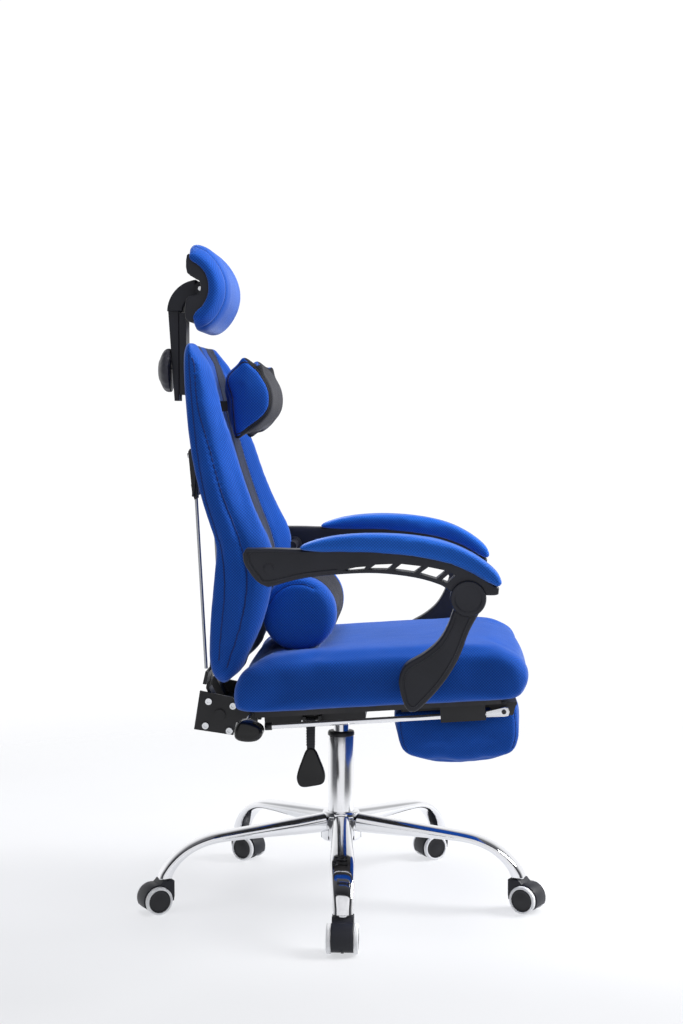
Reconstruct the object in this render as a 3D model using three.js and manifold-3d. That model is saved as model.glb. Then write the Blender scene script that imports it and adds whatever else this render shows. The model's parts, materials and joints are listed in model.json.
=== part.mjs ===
// High-back gaming chair with a retractable footrest: a castor base, a gas lift, a padded seat, a reclining
// back with an adjustable headrest, linked armrests, and a footrest on two rails under the seat.
// Millimetres, +Z up. The chair faces +X and the sitter's left is +Y. Every piece is first placed about the
// gas column's axis. The finished chair is then moved so that its box is centred on the origin.
import * as THREE from 'three';
import { mergeVertices } from 'three/addons/utils/BufferGeometryUtils.js';
import Module from 'manifold-3d';

const wasm = await Module();
wasm.setup();

// ---------------------------------------------------------------- driving dimensions
const GAP = 0.3; // clearance between pieces that touch
const BOTH_SIDES = [['left', 1], ['right', -1]];
const DEGREE = Math.PI / 180;

const BASE = { legs: 5, firstLegAngle: -86.6, stemRadius: 335, hubRadius: 37.5, hubBottom: 106, hubTop: 158 };
const LEG = { // centre line distance from the column, height, section height and section width
  stations: [
    [38, 138, 34, 36], [150, 131.5, 23, 40], [210, 128, 18, 42], [250, 123.5, 15.5, 42], [283, 112.5, 15, 40],
    [307, 97, 16.5, 38], [324, 79.5, 20, 36], [334, 61.5, 25, 34],
  ],
  sectionPoints: 8,
  squareness: 3,
  socketTop: 75,
};
const CASTER = {
  yaws: [-90, -30, 210, -30, 210], // which way each castor trails
  trail: 18, wheelRadius: 25, wheelSides: 18, hoodRadius: 27, hoodHalfWidth: 18.3, hoodTop: 59.5,
  hoodFront: -13.5, webHalf: 2.5, wheelRoom: 23.8, axleRadius: 3.5, stemRadius: 5.5, stemTop: 72,
};
const COLUMN = {
  tubeRadius: 24, tubeBore: 20, tubeBottom: 100, tubeTop: 299, floor: 108,
  sleeveBore: 14.4, sleeveBottom: 200, collarTop: 307, collarRadius: 24.5,
  cylinderRadius: 14, cylinderBottom: 126, cylinderTop: 366, cylinderBore: 6,
  rodRadius: 5, rodTop: 318, rodFlange: 9, bearingRadius: 19, bearingTop: 116,
};
const SEAT = { tilt: 3.8, height: 386, halfWidth: 250, edge: 20, boardThickness: 11 };
const MECHANISM = { back: -136, front: 46, halfWidth: 90, bottom: -43, wall: 3, socketRadius: 24 };
const RECLINE = { x: -214, z: 350, plateOuter: 90, plateThickness: 6, axleRadius: 7, barrelRadius: 13 };
const LEVER = { rodX: -158, rodZ: 351, rodRadius: 4, pivotY: -99, pivotZ: 342, pivotRadius: 5 };
const ARM = {
  inner: 263, outer: 307, hubX: 226, hubZ: 585, hubRadius: 30, legX: 128, legZ: 414, split: 284,
  padInner: 250, padOuter: 320, legInner: 266, legOuter: 302, discOuter: 310, pinRadius: 7,
};
const FOOTREST = {
  railY: 175, railRadius: 5, railZ: -33, railBack: -123, railFront: 262, pivotX: 290, pivotZ: -30,
  sleeveBack: 180, sleeveFront: 258, padHalfWidth: 154, earY: 157, earThickness: 5,
  pinRadius: 4, tongueInner: 170, tongueOuter: 180,
};
const HEADREST = {
  pivotX: -254, pivotZ: 1117, barrelRadius: 13, pinRadius: 4, armCentreX: -257, armCentreZ: 1075,
  armInner: 30, armOuter: 59, armHalfWidth: 24, slotHalfWidth: 28, shellHalfWidth: 124, padHalfWidth: 140,
};
const POST = { front: -294.5, halfWidth: 20, knobX: -310.5, knobZ: 970, knobRadius: 40, screwRadius: 4 };
const PILLOW = { neckHalfLength: 130, lumbarHalfLength: 165, lumbarRadius: 64, lumbarX: -66, lumbarZ: 543.5 };

// ---------------------------------------------------------------- materials
function material(color, roughness, metalness) {
  return new THREE.MeshStandardMaterial({ color, roughness, metalness });
}
const chrome = () => material(0xd8dade, 0.08, 1);
const greySteel = () => material(0x8d9094, 0.35, 1);
const blackSteel = () => material(0x17181a, 0.45, 0.6);
const blackPlastic = () => material(0x1b1c1f, 0.55, 0);
const blueMesh = () => material(0x1238c8, 0.9, 0);
const darkMesh = () => material(0x2b2d33, 0.9, 0);
const plywood = () => material(0x1d1c1b, 0.8, 0);
const greyRubber = () => material(0xc4c8ce, 0.6, 0);
const nylon = () => material(0x101113, 0.6, 0);

// ---------------------------------------------------------------- solid helpers
function solidOf(geometry) {
  const bare = geometry.clone();
  for (const name of Object.keys(bare.attributes)) {
    if (name !== 'position') bare.deleteAttribute(name);
  }
  const merged = mergeVertices(bare, 1e-3);
  const vertProperties = new Float32Array(merged.attributes.position.array);
  const triVerts = new Uint32Array(merged.index.array);
  return new wasm.Manifold(new wasm.Mesh({ numProp: 3, vertProperties, triVerts }));
}

function geometryOf(solid) {
  const { vertProperties, triVerts } = solid.getMesh();
  const geometry = new THREE.BufferGeometry();
  geometry.setAttribute('position', new THREE.BufferAttribute(new Float32Array(vertProperties), 3));
  geometry.setIndex(new THREE.BufferAttribute(new Uint32Array(triVerts), 1));
  geometry.computeVertexNormals();
  return geometry;
}

function join(first, ...others) {
  return geometryOf(others.reduce((solid, other) => solid.add(solidOf(other)), solidOf(first)));
}

function cut(first, ...others) {
  return geometryOf(others.reduce((solid, other) => solid.subtract(solidOf(other)), solidOf(first)));
}

function box(x0, x1, y0, y1, z0, z1) {
  const geometry = new THREE.BoxGeometry(x1 - x0, y1 - y0, z1 - z0);
  return geometry.translate((x0 + x1) / 2, (y0 + y1) / 2, (z0 + z1) / 2);
}

// An outline of [x, z] points carried along Y from y0 to y1, with optional rounded rims and holes.
function prism(points, y0, y1, rim = 0, holes = []) {
  const shape = new THREE.Shape(points.map(([x, z]) => new THREE.Vector2(x, z)));
  for (const hole of holes) {
    shape.holes.push(new THREE.Path(hole.map(([x, z]) => new THREE.Vector2(x, z))));
  }
  const geometry = new THREE.ExtrudeGeometry(shape, {
    depth: y1 - y0 - 2 * rim, steps: 1, curveSegments: 6,
    bevelEnabled: rim > 0, bevelSize: rim, bevelThickness: rim, bevelOffset: -rim, bevelSegments: 1,
  });
  return geometryOf(solidOf(geometry.rotateX(Math.PI / 2).translate(0, y1 - rim, 0)));
}

// A smooth closed outline through a few [x, z] points.
function smoothOutline(points, count) {
  const curve = new THREE.SplineCurve([...points, points[0]].map(([x, z]) => new THREE.Vector2(x, z)));
  return curve.getPoints(count).slice(0, -1).map((point) => [point.x, point.y]);
}

// A bent strip of even thickness about a centre line of [x, z] points.
function stripOutline(points, thickness) {
  const half = thickness / 2;
  const sides = points.map(([x, z], index) => {
    const before = points[Math.max(index - 1, 0)];
    const after = points[Math.min(index + 1, points.length - 1)];
    const along = new THREE.Vector2(after[0] - before[0], after[1] - before[1]).normalize();
    return [[x - along.y * half, z + along.x * half], [x + along.y * half, z - along.x * half]];
  });
  return [...sides.map((pair) => pair[0]), ...sides.reverse().map((pair) => pair[1])];
}

function arcPoints(x, z, radius, from, to, steps) {
  return Array.from({ length: steps + 1 }, (_, index) => {
    const angle = (from + ((to - from) * index) / steps) * DEGREE;
    return [x + radius * Math.cos(angle), z + radius * Math.sin(angle)];
  });
}

function rodAlongY(x, z, radius, y0, y1, sides = 16) {
  const geometry = new THREE.CylinderGeometry(radius, radius, y1 - y0, sides);
  return geometry.translate(x, (y0 + y1) / 2, z);
}

function rodAlongX(y, z, radius, x0, x1, sides = 12) {
  const geometry = new THREE.CylinderGeometry(radius, radius, x1 - x0, sides);
  return geometry.rotateZ(Math.PI / 2).translate((x0 + x1) / 2, y, z);
}

function rodAlongZ(x, y, radius, z0, z1, sides = 20) {
  const geometry = new THREE.CylinderGeometry(radius, radius, z1 - z0, sides);
  return geometry.rotateX(Math.PI / 2).translate(x, y, (z0 + z1) / 2);
}

// A closed profile of [radius, height] points turned about the vertical column axis.
function turned(profile, sides = 20) {
  const points = [...profile, profile[0]].map(([radius, z]) => new THREE.Vector2(radius, z));
  return new THREE.LatheGeometry(points, sides).rotateX(Math.PI / 2);
}

// A skin through rings of equal point count, closed at both ends by a fan.
function loft(rings) {
  const size = rings[0].length;
  const position = rings.flat().flatMap((point) => [point.x, point.y, point.z]);
  const index = [];
  for (let ring = 0; ring < rings.length - 1; ring += 1) {
    for (let side = 0; side < size; side += 1) {
      const a = ring * size + side;
      const b = ring * size + ((side + 1) % size);
      index.push(a, b, b + size, a, b + size, a + size);
    }
  }
  for (const ring of [0, rings.length - 1]) {
    const middle = rings[ring].reduce((sum, point) => sum.clone().add(point), new THREE.Vector3());
    middle.divideScalar(size);
    const centre = position.length / 3;
    position.push(middle.x, middle.y, middle.z);
    for (let side = 0; side < size; side += 1) {
      const a = ring * size + side;
      const b = ring * size + ((side + 1) % size);
      index.push(...(ring === 0 ? [centre, b, a] : [centre, a, b]));
    }
  }
  const geometry = new THREE.BufferGeometry();
  geometry.setAttribute('position', new THREE.Float32BufferAttribute(position, 3));
  geometry.setIndex(index);
  return geometry;
}

function named(name, geometry, finish) {
  const mesh = new THREE.Mesh(geometry, finish);
  mesh.name = name;
  return mesh;
}

// Both halves of a left and right pair: the part is drawn on the +Y side and mirrored for the right.
function mirrored(geometry, side) {
  if (side > 0) return geometry.clone();
  const flipped = geometry.clone().toNonIndexed().scale(1, -1, 1);
  const position = flipped.attributes.position;
  for (let corner = 0; corner < position.count; corner += 3) {
    const first = new THREE.Vector3().fromBufferAttribute(position, corner);
    const last = new THREE.Vector3().fromBufferAttribute(position, corner + 2);
    position.setXYZ(corner, last.x, last.y, last.z);
    position.setXYZ(corner + 2, first.x, first.y, first.z);
  }
  return flipped;
}

// ---------------------------------------------------------------- base, legs and castors
function starHub() {
  const { hubRadius, hubBottom, hubTop } = BASE;
  const bore = COLUMN.tubeRadius + GAP;
  return turned([
    [bore, hubBottom], [hubRadius - 3, hubBottom], [hubRadius, hubBottom + 4], [hubRadius, hubTop - 14],
    [hubRadius - 4, hubTop - 10], [hubRadius - 4, hubTop - 2], [hubRadius - 6, hubTop], [bore, hubTop],
  ]);
}

function legSection(distance, height, along, tall, wide) {
  const across = new THREE.Vector3(0, 1, 0);
  const up = new THREE.Vector3(-along.y, 0, along.x);
  return Array.from({ length: LEG.sectionPoints }, (_, index) => {
    const angle = (2 * Math.PI * index) / LEG.sectionPoints;
    const square = (value) => Math.sign(value) * Math.abs(value) ** (2 / LEG.squareness);
    const point = new THREE.Vector3(distance, 0, height);
    point.addScaledVector(across, (square(Math.cos(angle)) * wide) / 2);
    return point.addScaledVector(up, (square(Math.sin(angle)) * tall) / 2);
  });
}

function baseLeg() {
  const rings = LEG.stations.map(([distance, height, tall, wide], index, all) => {
    const before = all[Math.max(index - 1, 0)];
    const after = all[Math.min(index + 1, all.length - 1)];
    const isEnd = index === all.length - 1;
    const along = isEnd ? new THREE.Vector2(0, -1)
      : new THREE.Vector2(after[0] - before[0], after[1] - before[1]).normalize();
    if (index === 0) along.set(1, 0);
    return legSection(distance, height, along, tall, wide);
  });
  const socket = rodAlongZ(BASE.stemRadius, 0, CASTER.stemRadius + 2 * GAP, 50, LEG.socketTop, 12);
  return cut(loft(rings), socket);
}

// The castor's frame: stem on the vertical axis, wheels behind it along +X.
function casterYoke() {
  const { trail, wheelRadius, hoodRadius, hoodTop, hoodFront, hoodHalfWidth, webHalf, wheelRoom } = CASTER;
  const outline = [
    [hoodFront, 30], [hoodFront + 3, 24], [2, 15], [30, 12],
    ...arcPoints(trail, wheelRadius, hoodRadius, -24, 100, 7),
    [trail - 7, hoodTop - 5], [trail - 9, hoodTop], [hoodFront, hoodTop],
  ];
  const room = (y0, y1) => rodAlongY(trail, wheelRadius, wheelRoom, y0, y1, 18);
  const shell = cut(
    prism(outline, -hoodHalfWidth, hoodHalfWidth),
    room(webHalf, hoodHalfWidth + 1), room(-hoodHalfWidth - 1, -webHalf),
  );
  const axle = rodAlongY(trail, wheelRadius, CASTER.axleRadius, -22, 22, 10);
  const stem = rodAlongZ(0, 0, CASTER.stemRadius, hoodTop - 4, CASTER.stemTop, 10);
  return join(shell, axle, stem);
}

function casterWheel() {
  const { wheelRadius, wheelSides, webHalf, hoodHalfWidth, axleRadius } = CASTER;
  const half = Math.PI / wheelSides;
  const tread = wheelRadius / Math.cos(half);
  const bore = axleRadius + GAP;
  const inside = hoodHalfWidth + GAP;
  const profile = [
    [bore, webHalf + 0.5], [22.8, webHalf + 0.5], [22.8, inside], [tread, inside], [tread, 24],
    [19, 25.2], [bore, 27.3],
  ];
  const points = [...profile, profile[0]].map(([radius, y]) => new THREE.Vector2(radius, y));
  return new THREE.LatheGeometry(points, wheelSides, half).translate(CASTER.trail, 0, wheelRadius);
}

function placedCaster(number, legAngle) {
  const caster = new THREE.Group();
  caster.position.set(
    BASE.stemRadius * Math.cos(legAngle * DEGREE), BASE.stemRadius * Math.sin(legAngle * DEGREE), 0,
  );
  caster.rotation.z = CASTER.yaws[number - 1] * DEGREE;
  caster.add(named(`caster_yoke_${number}`, casterYoke(), blackPlastic()));
  for (const [side, sign] of BOTH_SIDES) {
    caster.add(named(`wheel_${number}_${side}`, mirrored(casterWheel(), sign), greyRubber()));
  }
  return caster;
}

function rollingBase() {
  const base = new THREE.Group();
  base.add(named('star_hub', starHub(), chrome()));
  for (let number = 1; number <= BASE.legs; number += 1) {
    const angle = BASE.firstLegAngle + ((number - 1) * 360) / BASE.legs;
    const leg = named(`base_leg_${number}`, baseLeg(), chrome());
    leg.rotation.z = angle * DEGREE;
    base.add(leg, placedCaster(number, angle));
  }
  return base;
}

// ---------------------------------------------------------------- gas lift
function gasLift() {
  const c = COLUMN;
  const lift = new THREE.Group();
  lift.add(named('column_tube', turned([
    [c.rodRadius + 1, c.tubeBottom], [c.tubeRadius - 3, c.tubeBottom], [c.tubeRadius, c.tubeBottom + 12],
    [c.tubeRadius, c.tubeTop], [c.tubeBore, c.tubeTop], [c.tubeBore, c.floor], [c.rodRadius + 1, c.floor],
  ]), chrome()));
  lift.add(named('column_sleeve', turned([
    [c.sleeveBore, c.sleeveBottom], [c.tubeBore - GAP, c.sleeveBottom], [c.tubeBore - GAP, c.tubeTop + GAP],
    [c.collarRadius, c.tubeTop + GAP], [c.collarRadius, c.collarTop - 2], [c.collarRadius - 2, c.collarTop],
    [c.sleeveBore, c.collarTop],
  ]), nylon()));
  lift.add(named('thrust_bearing', turned([
    [c.rodRadius + 1, c.floor + GAP], [c.bearingRadius, c.floor + GAP], [c.bearingRadius, c.bearingTop],
    [c.rodRadius + 1, c.bearingTop],
  ], 16), greySteel()));
  lift.add(named('gas_rod', turned([
    [0, c.tubeBottom + 1], [c.rodRadius, c.tubeBottom + 1], [c.rodRadius, c.bearingTop + GAP],
    [c.rodFlange, c.bearingTop + GAP], [c.rodFlange, c.bearingTop + 3], [c.rodRadius, c.bearingTop + 3],
    [c.rodRadius, c.rodTop], [0, c.rodTop],
  ], 12), greySteel()));
  lift.add(named('gas_cylinder', turned([
    [c.cylinderBore, c.cylinderBottom], [c.cylinderRadius, c.cylinderBottom],
    [c.cylinderRadius, c.cylinderTop - 6], [c.cylinderRadius - 1.5, c.cylinderTop], [0, c.cylinderTop],
    [0, c.cylinderTop - 30], [c.cylinderBore, c.cylinderTop - 30],
  ]), chrome()));
  return lift;
}

// ---------------------------------------------------------------- seat, in its own tilted frame
function seatCushion() {
  const outline = [
    [-152, 0], [296, 0], [318, 10], [331, 34], [332, 54], [325, 78], [304, 92], [250, 97], [60, 97],
    [-95, 92], [-136, 85], [-150, 72], [-167, 42], [-168, 16],
  ];
  return prism(outline, -SEAT.halfWidth, SEAT.halfWidth, SEAT.edge);
}

function seatBoard() {
  const outline = [[-140, -1], [285, -1], [285, -1 - SEAT.boardThickness], [-140, -1 - SEAT.boardThickness]];
  return prism(outline, -205, 205);
}

function mechanismHousing() {
  const { back, front, halfWidth, bottom, wall, socketRadius } = MECHANISM;
  const top = -1 - SEAT.boardThickness - GAP;
  const pan = cut(
    box(back, front, -halfWidth, halfWidth, bottom, top),
    box(back + wall, front - wall, wall - halfWidth, halfWidth - wall, bottom - 1, top - wall),
  );
  const upright = (geometry) => geometry.rotateY(SEAT.tilt * DEGREE);
  const socket = rodAlongZ(0, 0, socketRadius, bottom + 1, top - 1);
  const rib = box(back + 1, front - 1, -4, 4, bottom + 8, top - 1);
  const hole = upright(rodAlongZ(0, 0, COLUMN.cylinderRadius + GAP, bottom - 20, top - wall - 1));
  const lugEnds = [[-66, -60.5], [-38, -32.5]];
  const leverLugs = lugEnds.map(([x0, x1]) => box(x0, x1, -107, 1 - halfWidth, -49, -32));
  const pivotZ = LEVER.pivotZ - SEAT.height;
  const pivotHole = upright(rodAlongX(LEVER.pivotY, pivotZ, LEVER.pivotRadius + GAP, -80, -20, 12));
  return cut(join(pan, socket, rib, ...leverLugs), hole, pivotHole);
}

function railSleeve(side) {
  const { sleeveBack, sleeveFront, railY, railRadius, railZ } = FOOTREST;
  const top = -1 - SEAT.boardThickness - GAP;
  const block = box(sleeveBack, sleeveFront, railY - 11, railY + 11, railZ - 9, top);
  const hole = rodAlongX(railY, railZ, railRadius + GAP, sleeveBack - 5, sleeveFront + 5);
  return mirrored(cut(block, hole), side);
}

// ---------------------------------------------------------------- footrest, in the seat's frame
function footrestRail(side) {
  const f = FOOTREST;
  const rail = rodAlongX(f.railY, f.railZ, f.railRadius, f.railBack, f.railFront, 16);
  const cap = rodAlongX(f.railY, f.railZ, f.railRadius + 1.5, f.railBack - 4, f.railBack + 8, 16);
  const tongueOutline = [
    [f.railFront - 2, f.railZ - 5], [f.pivotX + 4, f.pivotZ - 8], [f.pivotX + 10, f.pivotZ],
    [f.pivotX + 4, f.pivotZ + 8], [f.railFront - 2, f.railZ + 5],
  ];
  const tongue = prism(tongueOutline, f.tongueInner, f.tongueOuter);
  const hole = rodAlongY(f.pivotX, f.pivotZ, f.pinRadius + GAP, f.tongueInner - 5, f.tongueOuter + 5, 16);
  return mirrored(cut(join(rail, cap, tongue), hole), side);
}

function footrestBoard() {
  const f = FOOTREST;
  const board = box(112, 314, -f.padHalfWidth + 6, f.padHalfWidth - 6, -26, -17);
  const bridge = box(262, 314, -f.earY - f.earThickness, f.earY + f.earThickness, -22, -17);
  const earOutline = [[262, -17], [314, -17], [306, -40], [276, -40]];
  const pieces = [bridge];
  for (const [, sign] of BOTH_SIDES) {
    pieces.push(mirrored(prism(earOutline, f.earY, f.earY + f.earThickness), sign));
    pieces.push(mirrored(rodAlongY(f.pivotX, f.pivotZ, f.pinRadius, f.earY + 1, f.tongueOuter + 4, 16), sign));
  }
  return join(board, ...pieces);
}

function footrestPad() {
  const outline = [
    [105, -27], [316, -27], [321, -50], [320, -90], [310, -114], [288, -123], [262, -127.5], [211, -129],
    [156, -123], [122, -112], [106, -101], [101, -64],
  ];
  return prism(outline, -FOOTREST.padHalfWidth, FOOTREST.padHalfWidth, 10);
}

// ---------------------------------------------------------------- recline hinge and levers
function reclineBracket() {
  const { x, z, plateOuter, plateThickness, axleRadius } = RECLINE;
  const plate = [[-261, 323], [-250, 393], [-190, 381], [-179, 360], [-190, 313]];
  const inner = plateOuter - plateThickness;
  const floor = prism(stripOutline([[-256, 326], [-191, 317]], 4), -inner - 1, inner + 1);
  const front = prism(stripOutline([[-191, 317], [-183, 356]], 4), -inner - 1, inner + 1);
  const tongue = box(-186, -142.5, -60, 60, 336, 342);
  const leverLug = box(-188, -146, -plateOuter, -inner, 336, 362);
  const plates = BOTH_SIDES.map(([, sign]) => mirrored(prism(plate, inner, plateOuter), sign));
  const hole = rodAlongY(x, z, axleRadius + GAP, -plateOuter - 5, plateOuter + 5);
  const leverHole = rodAlongY(LEVER.rodX, LEVER.rodZ, LEVER.rodRadius + GAP, -plateOuter - 5, -inner + 5);
  return cut(join(floor, front, tongue, leverLug, ...plates), hole, leverHole);
}

function hingeAxle() {
  const { x, z, axleRadius, plateOuter } = RECLINE;
  const shaft = rodAlongY(x, z, axleRadius, -plateOuter - 4, plateOuter + 4);
  const heads = BOTH_SIDES.map(([, sign]) => mirrored(
    rodAlongY(x, z, axleRadius + 3, plateOuter + GAP, plateOuter + 4), sign,
  ));
  return join(shaft, ...heads);
}

function heightLever() {
  const stemOutline = [[-57, 347], [-41, 347], [-41, 290], [-57, 290]];
  const paddleOutline = smoothOutline([
    [-56, 292], [-42, 292], [-31, 270], [-23, 245], [-27, 230], [-46, 225], [-66, 223.5], [-74, 233], [-74, 246],
    [-67, 270],
  ], 20);
  const stem = prism(stemOutline, -109, -100);
  const paddle = prism(paddleOutline, -112, -98, 3);
  const pivot = rodAlongX(LEVER.pivotY, LEVER.pivotZ, LEVER.pivotRadius, -66, -32, 12);
  return join(stem, paddle, pivot);
}

function reclineLever() {
  const rod = rodAlongY(LEVER.rodX, LEVER.rodZ, LEVER.rodRadius, -190, -80, 12);
  const outline = smoothOutline([
    [-172, 352], [-162, 362], [-148, 360], [-128, 352], [-124, 338], [-133, 328], [-155, 327], [-171, 336],
  ], 18);
  return join(rod, prism(outline, -234, -185, 8));
}

// ---------------------------------------------------------------- back
function backFrame() {
  const { x, z, barrelRadius, axleRadius, plateOuter, plateThickness } = RECLINE;
  const reach = plateOuter - plateThickness - 2;
  const barrel = rodAlongY(x, z, barrelRadius, -reach, reach);
  const upright = stripOutline([
    [x - 4, z + 6], [x - 16, z + 28], [x - 24, z + 46], [x - 17, z + 84], [-229, 470], [-223, 520], [-217, 600],
  ], 6);
  const crossbar = stripOutline([[-236, 412], [-231, 434]], 6);
  const bars = BOTH_SIDES.map(([, sign]) => mirrored(prism(upright, 35, 75), sign));
  const bore = rodAlongY(x, z, axleRadius + GAP, -reach - 5, reach + 5);
  return cut(join(barrel, prism(crossbar, -136, 136), ...bars), bore);
}

// One level of the back cushion: flat rear, full sides, two forward ridges and a sunken centre panel.
function backRing([z, rear, panel, ridge, halfWidth]) {
  const ridgeY = halfWidth - 42;
  const half = [
    [rear, halfWidth - 34], [rear + 10, halfWidth - 9], [(rear + ridge) / 2, halfWidth],
    [ridge - 12, halfWidth - 12], [ridge, ridgeY], [panel + (ridge - panel) * 0.35, ridgeY - 28],
    [panel, ridgeY - 60],
  ];
  const ring = [[rear, 0], ...half, [panel, 0], ...half.map(([x, y]) => [x, -y]).reverse()];
  return ring.reverse().map(([x, y]) => new THREE.Vector3(x, y, z));
}

function backCushion() {
  const levels = [ // height, rear face, centre panel, side ridge, half width
    [429, -204, -182, -178, 180], [440, -215, -172, -166, 200], [470, -218, -161, -150, 215],
    [510, -215, -149, -130, 228], [550, -212, -142, -116, 236], [590, -209, -139, -108, 240],
    [620, -206, -141, -107, 240], [665, -206, -148, -116, 238], [705, -215, -160, -134, 235],
    [750, -227, -175, -152, 230], [810, -240, -194, -176, 224], [870, -249, -209, -193, 218],
    [920, -254, -221, -204, 212], [970, -261, -231, -214, 205], [996, -263, -238, -226, 196],
    [1010, -256, -246, -240, 178],
  ];
  return loft(levels.map(backRing));
}

function rearRod(side) {
  const start = new THREE.Vector3(-234.5, 120, 438);
  const end = new THREE.Vector3(-264, 120, 800);
  const path = new THREE.LineCurve3(start, end);
  const circle = new THREE.Shape().absarc(0, 0, 3, 0, 2 * Math.PI, false);
  const rod = new THREE.ExtrudeGeometry(circle, { steps: 1, curveSegments: 6, extrudePath: path });
  return mirrored(rod, side);
}

function rodBracket() {
  return prism(stripOutline([[-247, 836], [-254, 745]], 4), -140, 140);
}

function postGuide() {
  const bar = prism([[-293.5, 925], [-281, 925], [-281, 1074], [-293.5, 1074]], -22, 22);
  const block = prism([[-284, 928], [-257, 928], [-264.5, 1000], [-284, 1000]], -32, 32);
  const hole = rodAlongX(0, POST.knobZ, POST.screwRadius + GAP, -300, -270, 16);
  return cut(join(bar, block), hole);
}

function neckPillow() {
  const outline = smoothOutline([
    [-206, 950], [-198, 918], [-191, 866], [-182, 851], [-154, 864], [-123, 889], [-114, 915], [-121, 943],
    [-146, 975], [-166, 983], [-192, 971],
  ], 18);
  return prism(outline, -PILLOW.neckHalfLength, PILLOW.neckHalfLength, 8);
}

function lumbarPillow() {
  const { lumbarX, lumbarZ, lumbarRadius, lumbarHalfLength } = PILLOW;
  const outline = arcPoints(lumbarX, lumbarZ, lumbarRadius, 0, 340, 17);
  return prism(outline, -lumbarHalfLength, lumbarHalfLength, 12);
}

// ---------------------------------------------------------------- headrest
function headrestPost() {
  const h = HEADREST;
  const barOutline = [[POST.front, 914], [-304, 914], [-315, 1078], [POST.front, 1078]];
  const slot = box(-330, -280, -4.6, 4.6, 925, 975);
  const bar = cut(prism(barOutline, -POST.halfWidth, POST.halfWidth), slot);
  const arm = prism([
    ...arcPoints(h.armCentreX, h.armCentreZ, h.armOuter, 178, 96, 8),
    ...arcPoints(h.armCentreX, h.armCentreZ, h.armInner, 96, 178, 6),
  ], -h.armHalfWidth, h.armHalfWidth);
  const barrel = rodAlongY(h.pivotX, h.pivotZ, h.barrelRadius, -h.armHalfWidth, h.armHalfWidth);
  const hole = rodAlongY(h.pivotX, h.pivotZ, h.pinRadius + GAP, -40, 40, 16);
  return cut(join(bar, arm, barrel), hole);
}

function headrestKnob() {
  const { knobX, knobZ, knobRadius, screwRadius } = POST;
  const profile = [
    [0, -275], [screwRadius, -275], [screwRadius, knobX], [knobRadius - 4, knobX], [knobRadius, knobX - 4],
    [knobRadius, knobX - 17], [knobRadius - 5, knobX - 23], [0, knobX - 25],
  ].map(([radius, x]) => new THREE.Vector2(radius, -x));
  return new THREE.LatheGeometry(profile, 20).rotateZ(Math.PI / 2).translate(0, 0, knobZ);
}

function headrestShell() {
  const h = HEADREST;
  const outline = [
    [-265, 1169], [-265, 1138], [-243, 1124], [-241, 1110], [-248, 1100], [-266, 1094], [-268, 1058],
    [-252, 1053], [-231, 1074], [-221, 1098], [-221, 1124], [-230, 1150], [-252, 1167],
  ];
  const slot = box(-280, -238, -h.slotHalfWidth, h.slotHalfWidth, 1046, 1180);
  const lug = prism([[-262, 1125], [-246, 1128], [-236, 1117], [-246, 1106], [-262, 1109]], 0, 10);
  const lugs = BOTH_SIDES.map(([, sign]) => mirrored(lug.clone().translate(0, h.slotHalfWidth, 0), sign));
  const pin = rodAlongY(h.pivotX, h.pivotZ, h.pinRadius, -h.slotHalfWidth - 2, h.slotHalfWidth + 2, 16);
  return join(cut(prism(outline, -h.shellHalfWidth, h.shellHalfWidth), slot), ...lugs, pin);
}

function headrestPad() {
  const outline = [
    [-252.5, 1052], [-257, 1038], [-236, 1036], [-215, 1052], [-197, 1079], [-191, 1106], [-195, 1133],
    [-209, 1162], [-232, 1186], [-256, 1194], [-266, 1186], [-264, 1172], [-251, 1168], [-229, 1150.5],
    [-220.6, 1124], [-220.6, 1098], [-230.5, 1073.5],
  ];
  return prism(outline, -HEADREST.padHalfWidth, HEADREST.padHalfWidth, 3);
}

// ---------------------------------------------------------------- armrests, drawn on the left side
const ARM_TOP = [
  [-144, 666], [-94, 666], [-53, 665], [14, 666], [76, 665], [138, 660], [199, 647], [239, 628], [277, 602],
];
const ARM_WINDOWS = [
  [[20, 632], [32, 631.4], [50, 632.4], [52, 637], [40, 636]], [[64, 633], [91, 633], [101, 641], [73, 641]],
  [[103, 632], [136, 627], [149, 637.5], [115, 641.5]], [[147, 625], [173, 617.5], [188, 630], [161, 636]],
  [[182, 615], [191, 611.5], [203, 622], [196, 627]],
];

function armFrame() {
  const a = ARM;
  const outline = [
    [-149, 657], [-146, 640], [-128, 614], [-110, 603], [-98, 604], [-48, 617], [14, 624], [76, 626],
    [138, 619], [180, 608], [204, 597], [262, 596], [278, 597], ...ARM_TOP.slice().reverse(),
  ];
  const beam = prism(outline, a.inner, a.outer, 3, ARM_WINDOWS);
  const clearance = rodAlongY(a.hubX, a.hubZ, a.hubRadius + 1, a.split, a.outer + 5);
  const lug = rodAlongY(a.hubX, a.hubZ, a.hubRadius, a.inner, a.split - GAP, 20);
  const hole = rodAlongY(a.hubX, a.hubZ, a.pinRadius + GAP, a.inner - 5, a.outer);
  return cut(join(cut(beam, clearance), lug), hole);
}

function armPad() {
  const underside = ARM_TOP.slice(2).map(([x, z]) => [x, z + GAP]);
  const outline = [
    ...underside, [283, 614], [271, 634], [239, 660], [196, 680], [137, 691], [76, 695], [21, 693], [-21, 685],
  ];
  return prism(outline, ARM.padInner, ARM.padOuter, 5);
}

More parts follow.
